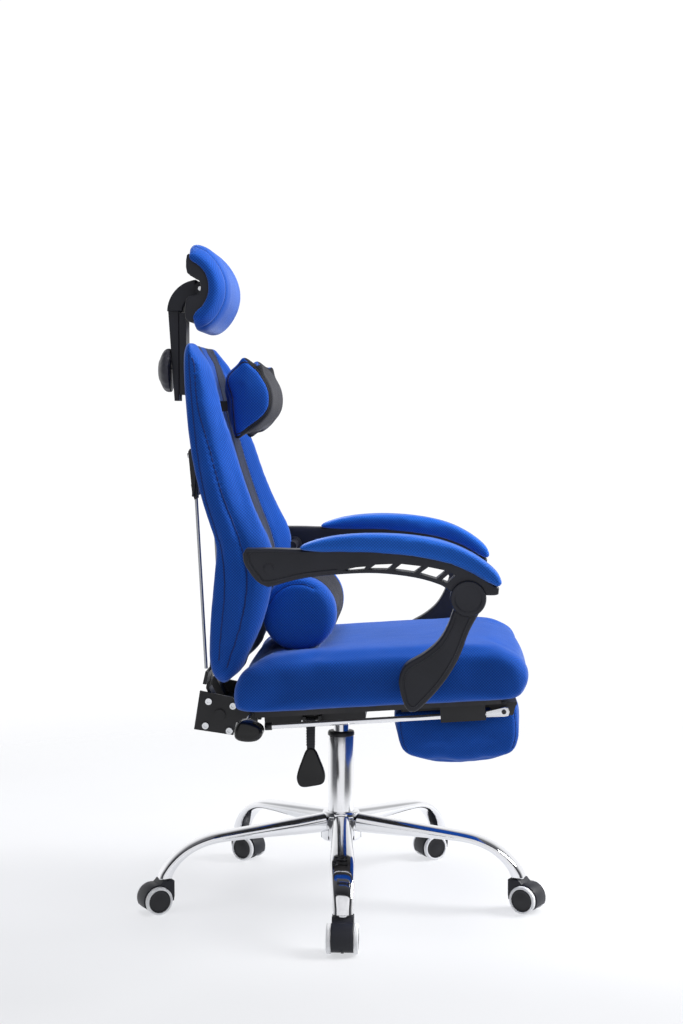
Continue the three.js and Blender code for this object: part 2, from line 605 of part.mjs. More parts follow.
function armLeg() {
  const a = ARM;
  const outline = [
    [200, 572], [191, 536], [176, 512], [153, 492], [126, 476], [116, 464], [111, 445], [116, 418], [124, 398],
    [133, 393], [148, 400], [184, 441], [210, 483], [228, 530], [244, 562], [252, 585], [226, 600],
  ];
  const blade = prism(outline, a.legInner, a.legOuter, 4);
  const clearance = rodAlongY(a.hubX, a.hubZ, a.hubRadius + 1, a.legInner - 5, a.split + GAP);
  const keep = box(180, 280, a.split + GAP, a.discOuter + 5, 586, 640);
  const disc = rodAlongY(a.hubX, a.hubZ, a.hubRadius, a.split + GAP, a.discOuter, 20);
  const pin = rodAlongY(a.hubX, a.hubZ, a.pinRadius, a.inner + 2, a.split + 3);
  const foot = rodAlongY(a.legX, a.legZ, 8, SEAT.halfWidth + 2, a.legInner + 3);
  return join(cut(blade, clearance, keep), disc, pin, foot);
}

// ---------------------------------------------------------------- assembly
function seatAssembly() {
  const seat = new THREE.Group();
  seat.position.z = SEAT.height;
  seat.rotation.y = -SEAT.tilt * DEGREE;
  seat.add(named('seat_cushion', seatCushion(), blueMesh()));
  seat.add(named('seat_board', seatBoard(), plywood()));
  seat.add(named('mechanism_housing', mechanismHousing(), blackSteel()));
  seat.add(named('footrest_board', footrestBoard(), plywood()));
  seat.add(named('footrest_pad', footrestPad(), blueMesh()));
  for (const [side, sign] of BOTH_SIDES) {
    seat.add(named(`rail_sleeve_${side}`, railSleeve(sign), blackSteel()));
    seat.add(named(`footrest_rail_${side}`, footrestRail(sign), chrome()));
  }
  return seat;
}

function backAssembly() {
  const back = new THREE.Group();
  back.add(named('recline_bracket', reclineBracket(), blackSteel()));
  back.add(named('hinge_axle', hingeAxle(), greySteel()));
  back.add(named('back_frame', backFrame(), blackSteel()));
  back.add(named('back_cushion', backCushion(), blueMesh()));
  back.add(named('rod_bracket', rodBracket(), blackSteel()));
  back.add(named('post_guide', postGuide(), blackPlastic()));
  back.add(named('neck_pillow', neckPillow(), darkMesh()));
  back.add(named('lumbar_pillow', lumbarPillow(), darkMesh()));
  back.add(named('headrest_post', headrestPost(), blackPlastic()));
  back.add(named('headrest_knob', headrestKnob(), blackPlastic()));
  back.add(named('headrest_shell', headrestShell(), blackPlastic()));
  back.add(named('headrest_pad', headrestPad(), blueMesh()));
  for (const [side, sign] of BOTH_SIDES) back.add(named(`rear_rod_${side}`, rearRod(sign), greySteel()));
  return back;
}

function armrests() {
  const arms = new THREE.Group();
  for (const [side, sign] of BOTH_SIDES) {
    arms.add(named(`arm_frame_${side}`, mirrored(armFrame(), sign), blackPlastic()));
    arms.add(named(`arm_pad_${side}`, mirrored(armPad(), sign), blueMesh()));
    arms.add(named(`arm_leg_${side}`, mirrored(armLeg(), sign), blackPlastic()));
  }
  return arms;
}

const chair = new THREE.Group();
chair.add(rollingBase(), gasLift(), seatAssembly(), backAssembly(), armrests());
chair.add(named('height_lever', heightLever(), blackPlastic()));
chair.add(named('recline_lever', reclineLever(), blackPlastic()));

// The chair stands on its wheels at z = 0, with the middle of its box over the origin.
chair.updateMatrixWorld(true);
const middle = new THREE.Box3().setFromObject(chair, true).getCenter(new THREE.Vector3());
chair.position.set(-middle.x, -middle.y, 0);

export default chair;
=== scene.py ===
"""Looks of the gaming chair: cushions, shells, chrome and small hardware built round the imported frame.

Tables are in millimetres from the gas column's axis, with +X the way the chair faces and +Y the sitter's
left. Paired pieces are drawn on the left and mirrored for the right.
"""

import json
import math

import bmesh
import bpy
import numpy as np
from mathutils import Matrix, Vector
from mathutils.bvhtree import BVHTree

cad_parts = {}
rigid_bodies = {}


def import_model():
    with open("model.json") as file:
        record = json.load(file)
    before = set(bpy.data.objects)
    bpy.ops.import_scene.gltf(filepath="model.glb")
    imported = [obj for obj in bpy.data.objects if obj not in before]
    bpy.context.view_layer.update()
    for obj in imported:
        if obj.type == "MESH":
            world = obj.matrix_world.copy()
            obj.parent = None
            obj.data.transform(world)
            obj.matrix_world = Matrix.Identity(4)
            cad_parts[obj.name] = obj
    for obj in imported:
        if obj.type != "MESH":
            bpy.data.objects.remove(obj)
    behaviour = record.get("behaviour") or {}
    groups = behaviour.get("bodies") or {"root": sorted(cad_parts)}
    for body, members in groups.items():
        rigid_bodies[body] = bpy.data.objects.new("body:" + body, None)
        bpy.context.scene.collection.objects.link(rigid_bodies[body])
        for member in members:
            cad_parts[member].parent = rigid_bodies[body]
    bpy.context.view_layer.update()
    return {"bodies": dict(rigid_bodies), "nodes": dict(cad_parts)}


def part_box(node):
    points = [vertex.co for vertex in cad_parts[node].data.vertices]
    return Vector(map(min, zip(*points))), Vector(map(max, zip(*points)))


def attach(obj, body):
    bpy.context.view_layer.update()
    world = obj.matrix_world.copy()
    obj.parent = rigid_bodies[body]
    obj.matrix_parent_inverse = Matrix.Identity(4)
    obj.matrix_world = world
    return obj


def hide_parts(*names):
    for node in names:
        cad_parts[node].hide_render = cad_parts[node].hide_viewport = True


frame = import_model()

MM = 0.001
CENTRE, X_AXIS, Y_AXIS, Z_AXIS = (0, 0, 0), (1, 0, 0), (0, 1, 0), (0, 0, 1)
SIDES = (("left", 1), ("right", -1))
SMOOTH_ANGLE = math.radians(38)
SEAT_TILT = math.radians(3.8)
SEAT_HEIGHT = 386
HUB_LOW, HUB_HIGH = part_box("star_hub")
COLUMN_AXIS = (HUB_LOW + HUB_HIGH) / 2
ORIGIN = Vector((COLUMN_AXIS.x, COLUMN_AXIS.y, 0))


# ------------------------------------------------------------------ places and outlines
def at(x, y, z):
    """A point given in millimetres from the column axis, in the frame's metres."""
    return Vector((COLUMN_AXIS.x + x * MM, COLUMN_AXIS.y + y * MM, z * MM))


def in_mm(places):
    """Points of the frame, in metres, as millimetres from the column axis."""
    return (places - np.array(ORIGIN)) / MM


def side_point(place, y):
    """A point at an [x, z] place of the side view, y millimetres to the left."""
    return (place[0], y, place[1])


def seat_point(x, y, z):
    """A point of the tilted seat, in millimetres from the column axis."""
    across, up = math.cos(SEAT_TILT), math.sin(SEAT_TILT)
    return (x * across - z * up, y, SEAT_HEIGHT + x * up + z * across)


def on_seat(outline):
    """An [x, z] outline of the tilted seat, as seen from the side."""
    return [seat_point(x, 0, z)[::2] for x, z in outline]


def smooth_path(points, steps, closed=False):
    """A Catmull-Rom curve through a few points of any dimension."""
    known = [np.array(point, float) for point in points]
    count = len(known)
    made = []
    for index in range(count if closed else count - 1):
        around = [index - 1, index, index + 1, index + 2]
        if closed:
            a, b, c, d = (known[place % count] for place in around)
        else:
            a, b, c, d = (known[min(max(place, 0), count - 1)] for place in around)
        for step in range(steps):
            t = step / steps
            made.append(0.5 * (2 * b + (c - a) * t + (2 * a - 5 * b + 4 * c - d) * t**2
                               + (3 * b - a - 3 * c + d) * t**3))
    if not closed:
        made.append(known[-1])
    return [tuple(float(value) for value in point) for point in made]


def arc(x, z, radius, start, end, steps=24):
    """Points along an arc, with angles in degrees."""
    angles = [math.radians(start + (end - start) * step / steps) for step in range(steps + 1)]
    return [(x + radius * math.cos(angle), z + radius * math.sin(angle)) for angle in angles]


def inset(outline, distance):
    """A closed outline moved inwards by a distance."""
    points = [Vector(point) for point in outline]
    area = sum(a.x * b.y - b.x * a.y for a, b in zip(points, points[1:] + points[:1]))
    turn = 1 if area > 0 else -1
    moved = []
    for before, here, after in zip(points[-1:] + points[:-1], points, points[1:] + points[:1]):
        along = (after - before).normalized()
        moved.append(tuple(here + Vector((-along.y, along.x)) * distance * turn))
    return moved


def strip(points, thickness):
    """The outline of an even strip about a centre line."""
    line = [Vector(point) for point in points]
    sides = []
    for index, here in enumerate(line):
        along = (line[min(index + 1, len(line) - 1)] - line[max(index - 1, 0)]).normalized()
        across = Vector((-along.y, along.x)) * thickness / 2
        sides.append((tuple(here + across), tuple(here - across)))
    return [pair[0] for pair in sides] + [pair[1] for pair in reversed(sides)]


# ------------------------------------------------------------------ mesh makers
def shade(piece):
    piece.data.shade_smooth()
    piece.data.set_sharp_from_angle(angle=SMOOTH_ANGLE)


def mesh_piece(name, points, faces, finish):
    """A mesh piece from points in millimetres about the column axis."""
    mesh = bpy.data.meshes.new(name)
    mesh.from_pydata([at(*point) for point in points], [], faces)
    mesh.validate()
    mesh.materials.append(finish)
    piece = bpy.data.objects.new(name, mesh)
    bpy.context.scene.collection.objects.link(piece)
    shade(piece)
    return piece


def skin(rings, looped=False):
    """Points and faces of a skin through rings of equal point count, closed at its ends or joined round."""
    size = len(rings[0])
    points = [point for ring in rings for point in ring]
    faces = []
    for row in range(len(rings) if looped else len(rings) - 1):
        for k in range(size):
            here, beside = row * size + k, row * size + (k + 1) % size
            above = ((row + 1) % len(rings)) * size
            faces.append((here, beside, above + (k + 1) % size, above + k))
    if not looped:
        faces.append(tuple(reversed(range(size))))
        faces.append(tuple(range((len(rings) - 1) * size, len(rings) * size)))
    return points, faces


def lathe(name, profile, centre, axis, finish, steps=48, looped=False):
    """A solid of revolution: the profile is (radius, distance along the axis)."""
    along = Vector(axis).normalized()
    first = along.orthogonal().normalized()
    second = along.cross(first)
    angles = [2 * math.pi * k / steps for k in range(steps)]
    rings = []
    for radius, distance in profile:
        middle = Vector(centre) + along * distance
        rings.append([tuple(middle + max(radius, 0.02) * (first * math.cos(a) + second * math.sin(a)))
                      for a in angles])
    return mesh_piece(name, *skin(rings, looped), finish)


def slab(name, outline, y0, y1, rim, finish):
    """An [x, z] outline carried along Y, with round rims."""
    curve = bpy.data.curves.new(name, "CURVE")
    curve.dimensions = "2D"
    curve.fill_mode = "BOTH"
    curve.extrude = ((y1 - y0) / 2 - rim) * MM
    curve.bevel_depth = rim * MM
    curve.offset = -rim * MM
    curve.bevel_resolution = 3
    spline = curve.splines.new("POLY")
    spline.points.add(len(outline) - 1)
    spline.use_cyclic_u = True
    for point, (x, z) in zip(spline.points, outline):
        point.co = (x * MM, z * MM, 0, 1)
    holder = bpy.data.objects.new(name + "_curve", curve)
    bpy.context.scene.collection.objects.link(holder)
    graph = bpy.context.evaluated_depsgraph_get()
    mesh = bpy.data.meshes.new_from_object(holder.evaluated_get(graph))
    bpy.data.objects.remove(holder)
    middle = at(0, (y0 + y1) / 2, 0)
    mesh.transform(Matrix.Translation(middle) @ Matrix.Rotation(math.radians(90), 4, "X"))
    mesh.name = name
    mesh.materials.clear()
    mesh.materials.append(finish)
    piece = bpy.data.objects.new(name, mesh)
    bpy.context.scene.collection.objects.link(piece)
    weld(piece)
    shade(piece)
    return piece


def weld(piece, distance=0.00002):
    """Merges points that share a place, so that the piece is one closed skin."""
    work = bmesh.new()
    work.from_mesh(piece.data)
    bmesh.ops.remove_doubles(work, verts=work.verts, dist=distance)
    bmesh.ops.recalc_face_normals(work, faces=work.faces)
    work.to_mesh(piece.data)
    work.free()


def cut_away(piece, cutter):
    """Takes a cutter's space out of a piece, and then removes the cutter."""
    difference = piece.modifiers.new("Cut", "BOOLEAN")
    difference.operation = "DIFFERENCE"
    difference.solver = "EXACT"
    difference.object = cutter
    take_modifiers(piece)
    bpy.data.objects.remove(cutter)
    shade(piece)


def cut_through(piece, openings, y0, y1):
    """Cuts [x, z] openings through a piece."""
    for outline in openings:
        cut_away(piece, slab("cutter", outline, y0, y1, 0.2, PLASTIC))


def rod(name, centre, axis, radius, start, end, finish, steps=24):
    """A plain round bar along an axis, from a start to an end distance."""
    profile = [(0, start), (radius, start), (radius, end), (0, end)]
    return lathe(name, profile, centre, axis, finish, steps)


def tube(name, path, radius, finish, closed=False, sides=12):
    """A round bar, piping or thread along a path of points."""
    line = [Vector(point) for point in path]
    count = len(line)
    angles = [2 * math.pi * k / sides for k in range(sides)]
    rings = []
    across = None
    for index, here in enumerate(line):
        after = line[(index + 1) % count] if closed else line[min(index + 1, count - 1)]
        before = line[index - 1] if closed else line[max(index - 1, 0)]
        along = (after - before).normalized()
        across = along.orthogonal() if across is None else across - along * across.dot(along)
        across.normalize()
        second = along.cross(across)
        rings.append([tuple(here + radius * (across * math.cos(a) + second * math.sin(a))) for a in angles])
    return mesh_piece(name, *skin(rings, closed), finish)


def mirrored(piece, name):
    """The right-hand copy of a piece that was drawn on the left."""
    twin = bpy.data.objects.new(name, piece.data.copy())
    across = Matrix.Translation((0, 2 * COLUMN_AXIS.y, 0)) @ Matrix.Scale(-1, 4, Y_AXIS)
    twin.data.transform(across)
    twin.data.flip_normals()
    bpy.context.scene.collection.objects.link(twin)
    return twin


def placed(piece, body, stands_for=()):
    """Puts a finished piece on its body and CAD nodes it answers for."""
    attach(piece, body)
    if stands_for:
        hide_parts(*stands_for)
    return piece


def both_sides(piece, stem, body, stands_for=()):
    """Places a left piece and its mirrored right twin. Body and node names end in the side's name."""
    twin = mirrored(piece, f"{stem}_right")
    piece.name = f"{stem}_left"
    for made, side in ((piece, "left"), (twin, "right")):
        own = f"{body}_{side}" if f"{body}_{side}" in frame["bodies"] else body
        nodes = [f"{node}_{side}" for node in stands_for]
        placed(made, own, nodes)
    return piece, twin


# ------------------------------------------------------------------ material nodes
def new_material(name):
    """A material with its Principled shader."""
    finish = bpy.data.materials.new(name)
    finish.use_nodes = True
    return finish, finish.node_tree, finish.node_tree.nodes["Principled BSDF"]


def math_of(tree, operation, *values):
    """The result socket of a Math node fed by sockets or numbers."""
    made = tree.nodes.new("ShaderNodeMath")
    made.operation = operation
    for socket, value in zip(made.inputs, values):
        if isinstance(value, (int, float)):
            socket.default_value = value
        else:
            tree.links.new(value, socket)
    return made.outputs[0]


def place_of(tree):
    """The X, Y and Z sockets of the point being shaded."""
    coordinates = tree.nodes.new("ShaderNodeTexCoord")
    parts = tree.nodes.new("ShaderNodeSeparateXYZ")
    tree.links.new(coordinates.outputs["Object"], parts.inputs[0])
    return parts.outputs


def noise_of(tree, scale, detail=2.0):
    coordinates = tree.nodes.new("ShaderNodeTexCoord")
    noise = tree.nodes.new("ShaderNodeTexNoise")
    noise.inputs["Scale"].default_value = scale
    noise.inputs["Detail"].default_value = detail
    tree.links.new(coordinates.outputs["Object"], noise.inputs["Vector"])
    return noise.outputs[0]


def ramp_of(tree, value, low, high, low_place=0.0, high_place=1.0):
    """Blends from one colour to another as a value rises."""
    ramp = tree.nodes.new("ShaderNodeValToRGB")
    ends = ramp.color_ramp.elements
    ends[0].position, ends[1].position = low_place, high_place
    ends[0].color, ends[1].color = (*low, 1), (*high, 1)
    tree.links.new(value, ramp.inputs[0])
    return ramp.outputs[0]


def mix_of(tree, factor, first, second, blend="MIX"):
    """Mixes two colours by a factor that is a socket or a number."""
    mix = tree.nodes.new("ShaderNodeMix")
    mix.data_type = "RGBA"
    mix.blend_type = blend
    inputs = {socket.name: socket for socket in mix.inputs if socket.enabled}
    if isinstance(factor, (int, float)):
        inputs["Factor"].default_value = factor
    else:
        tree.links.new(factor, inputs["Factor"])
    tree.links.new(first, inputs["A"])
    tree.links.new(second, inputs["B"])
    return [socket for socket in mix.outputs if socket.enabled][0]


def map_of(tree, value, low, high, at_low, at_high):
    """Carries a value smoothly from one range to another."""
    made = tree.nodes.new("ShaderNodeMapRange")
    made.interpolation_type = "SMOOTHSTEP"
    for name, number in (("From Min", low), ("From Max", high), ("To Min", at_low), ("To Max", at_high)):
        made.inputs[name].default_value = number
    tree.links.new(value, made.inputs["Value"])
    return made.outputs["Result"]


def mottled(name, scale, low, high, detail=2.0):
    """A material whose colour drifts between two values, with its tree and shader."""
    finish, tree, shader = new_material(name)
    colour = ramp_of(tree, noise_of(tree, scale, detail), low, high, 0.3, 0.7)
    tree.links.new(colour, shader.inputs["Base Color"])
    return finish, tree, shader


def tune(shader, **values):
    """Sets a shader's own sockets. A name's underscores stand for spaces."""
    for name, value in values.items():
        shader.inputs[name.replace("_", " ")].default_value = value


def bump_to(tree, shader, height, strength, distance, under=None):
    """Raises a surface by a height, over an earlier bump where there is one."""
    bump = tree.nodes.new("ShaderNodeBump")
    bump.inputs["Strength"].default_value = strength
    bump.inputs["Distance"].default_value = distance
    tree.links.new(height, bump.inputs["Height"])
    if under:
        tree.links.new(under, bump.inputs["Normal"])
    tree.links.new(bump.outputs[0], shader.inputs["Normal"])
    return bump.outputs[0]


def facing_of(tree):
    """The X, Y and Z sockets of the surface's own direction, which turn with the piece."""
    geometry = tree.nodes.new("ShaderNodeNewGeometry")
    turn = tree.nodes.new("ShaderNodeVectorTransform")
    turn.vector_type = "NORMAL"
    turn.convert_from, turn.convert_to = "WORLD", "OBJECT"
    parts = tree.nodes.new("ShaderNodeSeparateXYZ")
    tree.links.new(geometry.outputs["Normal"], turn.inputs[0])
    tree.links.new(turn.outputs[0], parts.inputs[0])
    return parts.outputs


def weave_height(tree, period):
    """A diagonal knitted net, laid on each face from its squarest side: 0 in a hole and 1 on a thread."""
    turns = 2 * math.pi / period
    waves = [math_of(tree, "COSINE", math_of(tree, "MULTIPLY", axis, turns)) for axis in place_of(tree)]
    shares = [math_of(tree, "POWER", math_of(tree, "ABSOLUTE", axis), 6.0) for axis in facing_of(tree)]
    total, weight = None, None
    for share, first, second in ((shares[0], 1, 2), (shares[1], 0, 2), (shares[2], 0, 1)):
        net = math_of(tree, "MULTIPLY", math_of(tree, "MULTIPLY", waves[first], waves[second]), share)
        total = net if total is None else math_of(tree, "ADD", total, net)
        weight = share if weight is None else math_of(tree, "ADD", weight, share)
    return math_of(tree, "MULTIPLY_ADD", math_of(tree, "DIVIDE", total, weight), 0.5, 0.5)


BLUE_HOLE, BLUE_THREAD, BLUE_SHEEN = (0.0025, 0.043, 0.26), (0.008, 0.092, 0.49), (0.5, 0.64, 1.0)
# A lighter copy of the blue mesh colours, used on the arm pads: painted light that stands in for the bright
# haze that light gives their fabric.
PAINTED_LIGHT_HOLE, PAINTED_LIGHT_THREAD = (0.005, 0.07, 0.37), (0.016, 0.135, 0.63)
GREY_HOLE, GREY_THREAD, GREY_SHEEN = (0.011, 0.011, 0.014), (0.025, 0.026, 0.031), (0.7, 0.7, 0.76)
WEAVE_PERIOD = 0.005
GRAIN_DEPTH, POLISH_DEPTH = 0.0003, 0.0001


def mesh_fabric(name, hole, thread, sheen, tint=BLUE_SHEEN, region=None, second=None):
    """Air-mesh fabric. A region function may turn part of it into a second pair of colours."""
    finish, tree, shader = new_material(name)
    height = weave_height(tree, WEAVE_PERIOD)
    colour = ramp_of(tree, height, hole, thread, 0.15, 0.8)
    if region:
        other = ramp_of(tree, height, *second, 0.15, 0.8)
        colour = mix_of(tree, region(tree), colour, other)
    uneven = ramp_of(tree, noise_of(tree, 9), (0.86, 0.86, 0.86), (1.0, 1.0, 1.0), 0.3, 0.7)
    tree.links.new(mix_of(tree, 1.0, colour, uneven, "MULTIPLY"), shader.inputs["Base Color"])
    tune(shader, Roughness=0.85, Specular_IOR_Level=0.15)
    tune(shader, Sheen_Weight=sheen, Sheen_Roughness=0.35, Sheen_Tint=(*tint, 1))
    slack = bump_to(tree, shader, noise_of(tree, 7, 3), strength=0.35, distance=0.012)
    bump_to(tree, shader, height, strength=0.5, distance=0.0005, under=slack)
    return finish


def moulded_plastic(name, low, high, roughness, grain=900, strength=0.35):
    """Black plastic with a fine spark-eroded grain and slightly uneven gloss."""
    finish, tree, shader = mottled(name, 14, low, high)
    gloss = math_of(tree, "MULTIPLY_ADD", noise_of(tree, 30), 0.16, roughness - 0.08)
    tree.links.new(gloss, shader.inputs["Roughness"])
    tune(shader, Specular_IOR_Level=0.32)
    bump_to(tree, shader, noise_of(tree, grain), strength, GRAIN_DEPTH)
    return finish


def metal(name, low, high, roughness, spread, grain, strength):
    """Plated or bare metal with faint polishing marks."""
    finish, tree, shader = mottled(name, 6, low, high)
    tune(shader, Metallic=1.0)
    gloss = math_of(tree, "MULTIPLY_ADD", noise_of(tree, 25), spread, roughness)
    tree.links.new(gloss, shader.inputs["Roughness"])
    bump_to(tree, shader, noise_of(tree, grain), strength, POLISH_DEPTH)
    return finish


def stained_ply():
    """Ply stained black, with its long grain still showing."""
    finish, tree, shader = new_material("stained_ply_looks")
    x, y, _ = place_of(tree)
    slant = math_of(tree, "MULTIPLY", x, 40.0)
    wave = math_of(tree, "SINE", math_of(tree, "MULTIPLY_ADD", y, 700.0, slant))
    grain = math_of(tree, "MULTIPLY_ADD", wave, 0.25, noise_of(tree, 60, 6))
    colour = ramp_of(tree, grain, (0.012, 0.011, 0.011), (0.034, 0.031, 0.03))
    tree.links.new(colour, shader.inputs["Base Color"])
    tune(shader, Roughness=0.6)
    bump_to(tree, shader, grain, 0.3, GRAIN_DEPTH)
    return finish


def soft_tyre():
    """Soft light-grey tread with dust in its lower grain."""
    finish, tree, shader = mottled("tyre_looks", 80, (0.78, 0.79, 0.81), (0.9, 0.9, 0.92), 4)
    tune(shader, Roughness=0.55)
    bump_to(tree, shader, noise_of(tree, 500), 0.3, GRAIN_DEPTH)
    return finish


STRIPE_HALF = 43
STRIPE_LOW, STRIPE_HIGH = (600, 112), (965, 80)


def stripe_middle(z):
    """How far a stripe's middle is from the back's own middle, at a height."""
    (low, wide), (high, narrow) = STRIPE_LOW, STRIPE_HIGH
    return wide + (narrow - wide) * (z - low) / (high - low)


def back_stripes(tree):
    """Two upright charcoal bands where the back's side wings begin."""
    _, y, z = place_of(tree)
    off_centre = math_of(tree, "ABSOLUTE", math_of(tree, "SUBTRACT", y, COLUMN_AXIS.y))
    slope = stripe_middle(1) - stripe_middle(0)
    middle = math_of(tree, "MULTIPLY_ADD", z, slope, stripe_middle(0) * MM)
    gap = math_of(tree, "ABSOLUTE", math_of(tree, "SUBTRACT", off_centre, middle))
    inside = math_of(tree, "LESS_THAN", gap, STRIPE_HALF * MM)
    forward = math_of(tree, "GREATER_THAN", facing_of(tree)[0], 0.1)
    return math_of(tree, "MULTIPLY", inside, forward)


CHROME = metal("chrome_looks", (0.78, 0.79, 0.81), (0.9, 0.9, 0.92),
               roughness=0.03, spread=0.07, grain=40, strength=0.05)
SATIN = metal("satin_chrome_looks", (0.9, 0.905, 0.92), (0.96, 0.96, 0.975),
              roughness=0.16, spread=0.08, grain=60, strength=0.03)
ZINC = metal("zinc_looks", (0.62, 0.63, 0.65), (0.8, 0.81, 0.83),
             roughness=0.16, spread=0.16, grain=300, strength=0.15)
STEEL = metal("steel_looks", (0.3, 0.31, 0.33), (0.42, 0.43, 0.45),
              roughness=0.25, spread=0.15, grain=300, strength=0.1)
BLACK_METAL = moulded_plastic("black_metal_looks", (0.012, 0.012, 0.013), (0.022, 0.022, 0.024),
                              roughness=0.38, grain=350, strength=0.2)
PLASTIC = moulded_plastic("plastic_looks", (0.009, 0.01, 0.015), (0.016, 0.017, 0.025), roughness=0.44)
KNOB_PLASTIC = moulded_plastic("knob_looks", (0.036, 0.036, 0.046), (0.05, 0.05, 0.064), roughness=0.4)
GLOSSY = moulded_plastic("glossy_looks", (0.008, 0.008, 0.009), (0.014, 0.014, 0.015),
                         roughness=0.2, grain=500, strength=0.08)
NYLON = moulded_plastic("nylon_looks", (0.012, 0.012, 0.014), (0.022, 0.023, 0.027), roughness=0.33)
TYRE = soft_tyre()
STAINED_PLY = stained_ply()
BLUE = mesh_fabric("blue_mesh_looks", BLUE_HOLE, BLUE_THREAD, sheen=0.4)
# The arm pads' mesh: the blue mesh made lighter, as painted light.
PAINTED_LIGHT_BLUE = mesh_fabric("arm_mesh_painted_light_looks", PAINTED_LIGHT_HOLE, PAINTED_LIGHT_THREAD, sheen=0.6)
GREY = mesh_fabric("charcoal_mesh_looks", GREY_HOLE, GREY_THREAD, sheen=0.14, tint=GREY_SHEEN)
BACK_FABRIC = mesh_fabric("back_mesh_looks", BLUE_HOLE, BLUE_THREAD, sheen=0.4, region=back_stripes,
                          second=(GREY_HOLE, GREY_THREAD))
# Dark blue for the stitched line in the seam channels: partly the real seam, partly painted shade that stands
# in for the shadow in the pressed groove.
SEAM_SHADE = moulded_plastic("seam_shade_looks", (0.002, 0.02, 0.12), (0.004, 0.03, 0.18),
                         roughness=0.8, grain=1500, strength=0.6)
PIPING = moulded_plastic("piping_looks", (0.008, 0.008, 0.01), (0.016, 0.016, 0.02),
                         roughness=0.6, grain=1500, strength=0.6)


# ------------------------------------------------------------------ padding
CLOTH_FRAMES = 20
CLOTH_PRESSURE = 4.0
CLOTH_QUALITY, CLOTH_STIFFNESS = 4, 20
KEEPS_SHAPE = 0.6  # how much of a point's inward move the foam under the cover resists


def coordinates(mesh):
    values = np.empty(len(mesh.vertices) * 3)
    mesh.vertices.foreach_get("co", values)
    return values.reshape(-1, 3)


def set_coordinates(mesh, values):
    mesh.vertices.foreach_set("co", values.ravel())
    mesh.update()


def remesh(piece, voxel):
    """Even square faces over the whole piece."""
    modifier = piece.modifiers.new("Remesh", "REMESH")
    modifier.mode = "VOXEL"
    modifier.voxel_size = voxel * MM
    take_modifiers(piece)


def take_modifiers(piece):
    """Makes a piece's modified mesh its own."""
    graph = bpy.context.evaluated_depsgraph_get()
    mesh = bpy.data.meshes.new_from_object(piece.evaluated_get(graph))
    piece.modifiers.clear()
    piece.data = mesh


def relax(piece, rounds):
    """Softens a voxel mesh's steps."""
    modifier = piece.modifiers.new("Smooth", "SMOOTH")
    modifier.factor = 0.5
    modifier.iterations = rounds
    take_modifiers(piece)


def box_of(piece):
    values = coordinates(piece.data)
    return values.min(0), values.max(0)


def fitted(piece, box):
    """Brings a piece that has shrunk or swelled back to the box it was drawn in."""
    low, high = box_of(piece)
    wanted_low, wanted_high = box
    share = (wanted_high - wanted_low) / (high - low)
    set_coordinates(piece.data, wanted_low + (coordinates(piece.data) - low) * share)


def narrowed_ends(piece, centre, start, end, share):
    """Draws a cross piece's ends in towards its middle line, so that its corners are full and round."""
    middle = at(centre[0], 0, centre[1])
    places = coordinates(piece.data)
    reach = np.abs(places[:, 1] - middle.y) / MM
    t = np.clip((reach - start) / (end - start), 0, 1)
    scale = 1 - share * t**2
    for axis, value in ((0, middle.x), (2, middle.z)):
        places[:, axis] = value + (places[:, axis] - value) * scale
    set_coordinates(piece.data, places)


def held_points(piece, held):
    """A vertex group of the points that stay where they rest on something."""
    group = piece.vertex_groups.new(name="held")
    for vertex in piece.data.vertices:
        x, y, z = in_mm(np.array(vertex.co))
        if held(x, y, z):
            group.add([vertex.index], 1.0, "REPLACE")
    return group


def swell(piece, cap, held=None):
    """Lets a cloth simulation fill the piece, with each point moving at most cap millimetres."""
    start = coordinates(piece.data)
    cloth = piece.modifiers.new("Cloth", "CLOTH")
    cloth.settings.quality = CLOTH_QUALITY
    cloth.settings.use_pressure = True
    cloth.settings.uniform_pressure_force = CLOTH_PRESSURE
    cloth.settings.effector_weights.gravity = 0
    cloth.settings.tension_stiffness = CLOTH_STIFFNESS
    if held:
        cloth.settings.vertex_group_mass = held_points(piece, held).name
    cloth.collision_settings.use_collision = False
    scene = bpy.context.scene
    for number in range(1, CLOTH_FRAMES + 1):
        scene.frame_set(number)
    graph = bpy.context.evaluated_depsgraph_get()
    end = coordinates(piece.evaluated_get(graph).data)
    moved = end - start
    normals = np.array([vertex.normal for vertex in piece.data.vertices])
    inward = np.minimum((moved * normals).sum(axis=1, keepdims=True), 0)
    moved -= normals * inward * KEEPS_SHAPE
    length = np.linalg.norm(moved, axis=1, keepdims=True)
    share = np.minimum(1, cap * MM / np.maximum(length, 1e-9))
    piece.modifiers.clear()
    piece.vertex_groups.clear()
    set_coordinates(piece.data, start + moved * share)
    scene.frame_set(1)


def pad(piece, voxel, cap, held=None, softness=6):
    """A stuffed piece: remeshed, softened at its edges and filled by simulation."""
    box = box_of(piece)
    remesh(piece, voxel)
    relax(piece, softness)
    fitted(piece, box)
    swell(piece, cap, held)
    relax(piece, 2 + softness // 5)
    division = piece.modifiers.new("Subdivision", "SUBSURF")
    division.levels = division.render_levels = 1
    take_modifiers(piece)
    fitted(piece, box)
    piece.data.shade_smooth()
    return piece


def surface_tree(piece):
    graph = bpy.context.evaluated_depsgraph_get()
    return BVHTree.FromObject(piece, graph)


def on_surface(tree, points, proud=0.0):
    """Millimetre points brought to a piece's surface, standing proud by a little."""
    moved = []
    for point in points:
        place, normal, _, _ = tree.find_nearest(at(*point))
        moved.append(tuple((place + normal * proud * MM - ORIGIN) / MM))
    return moved


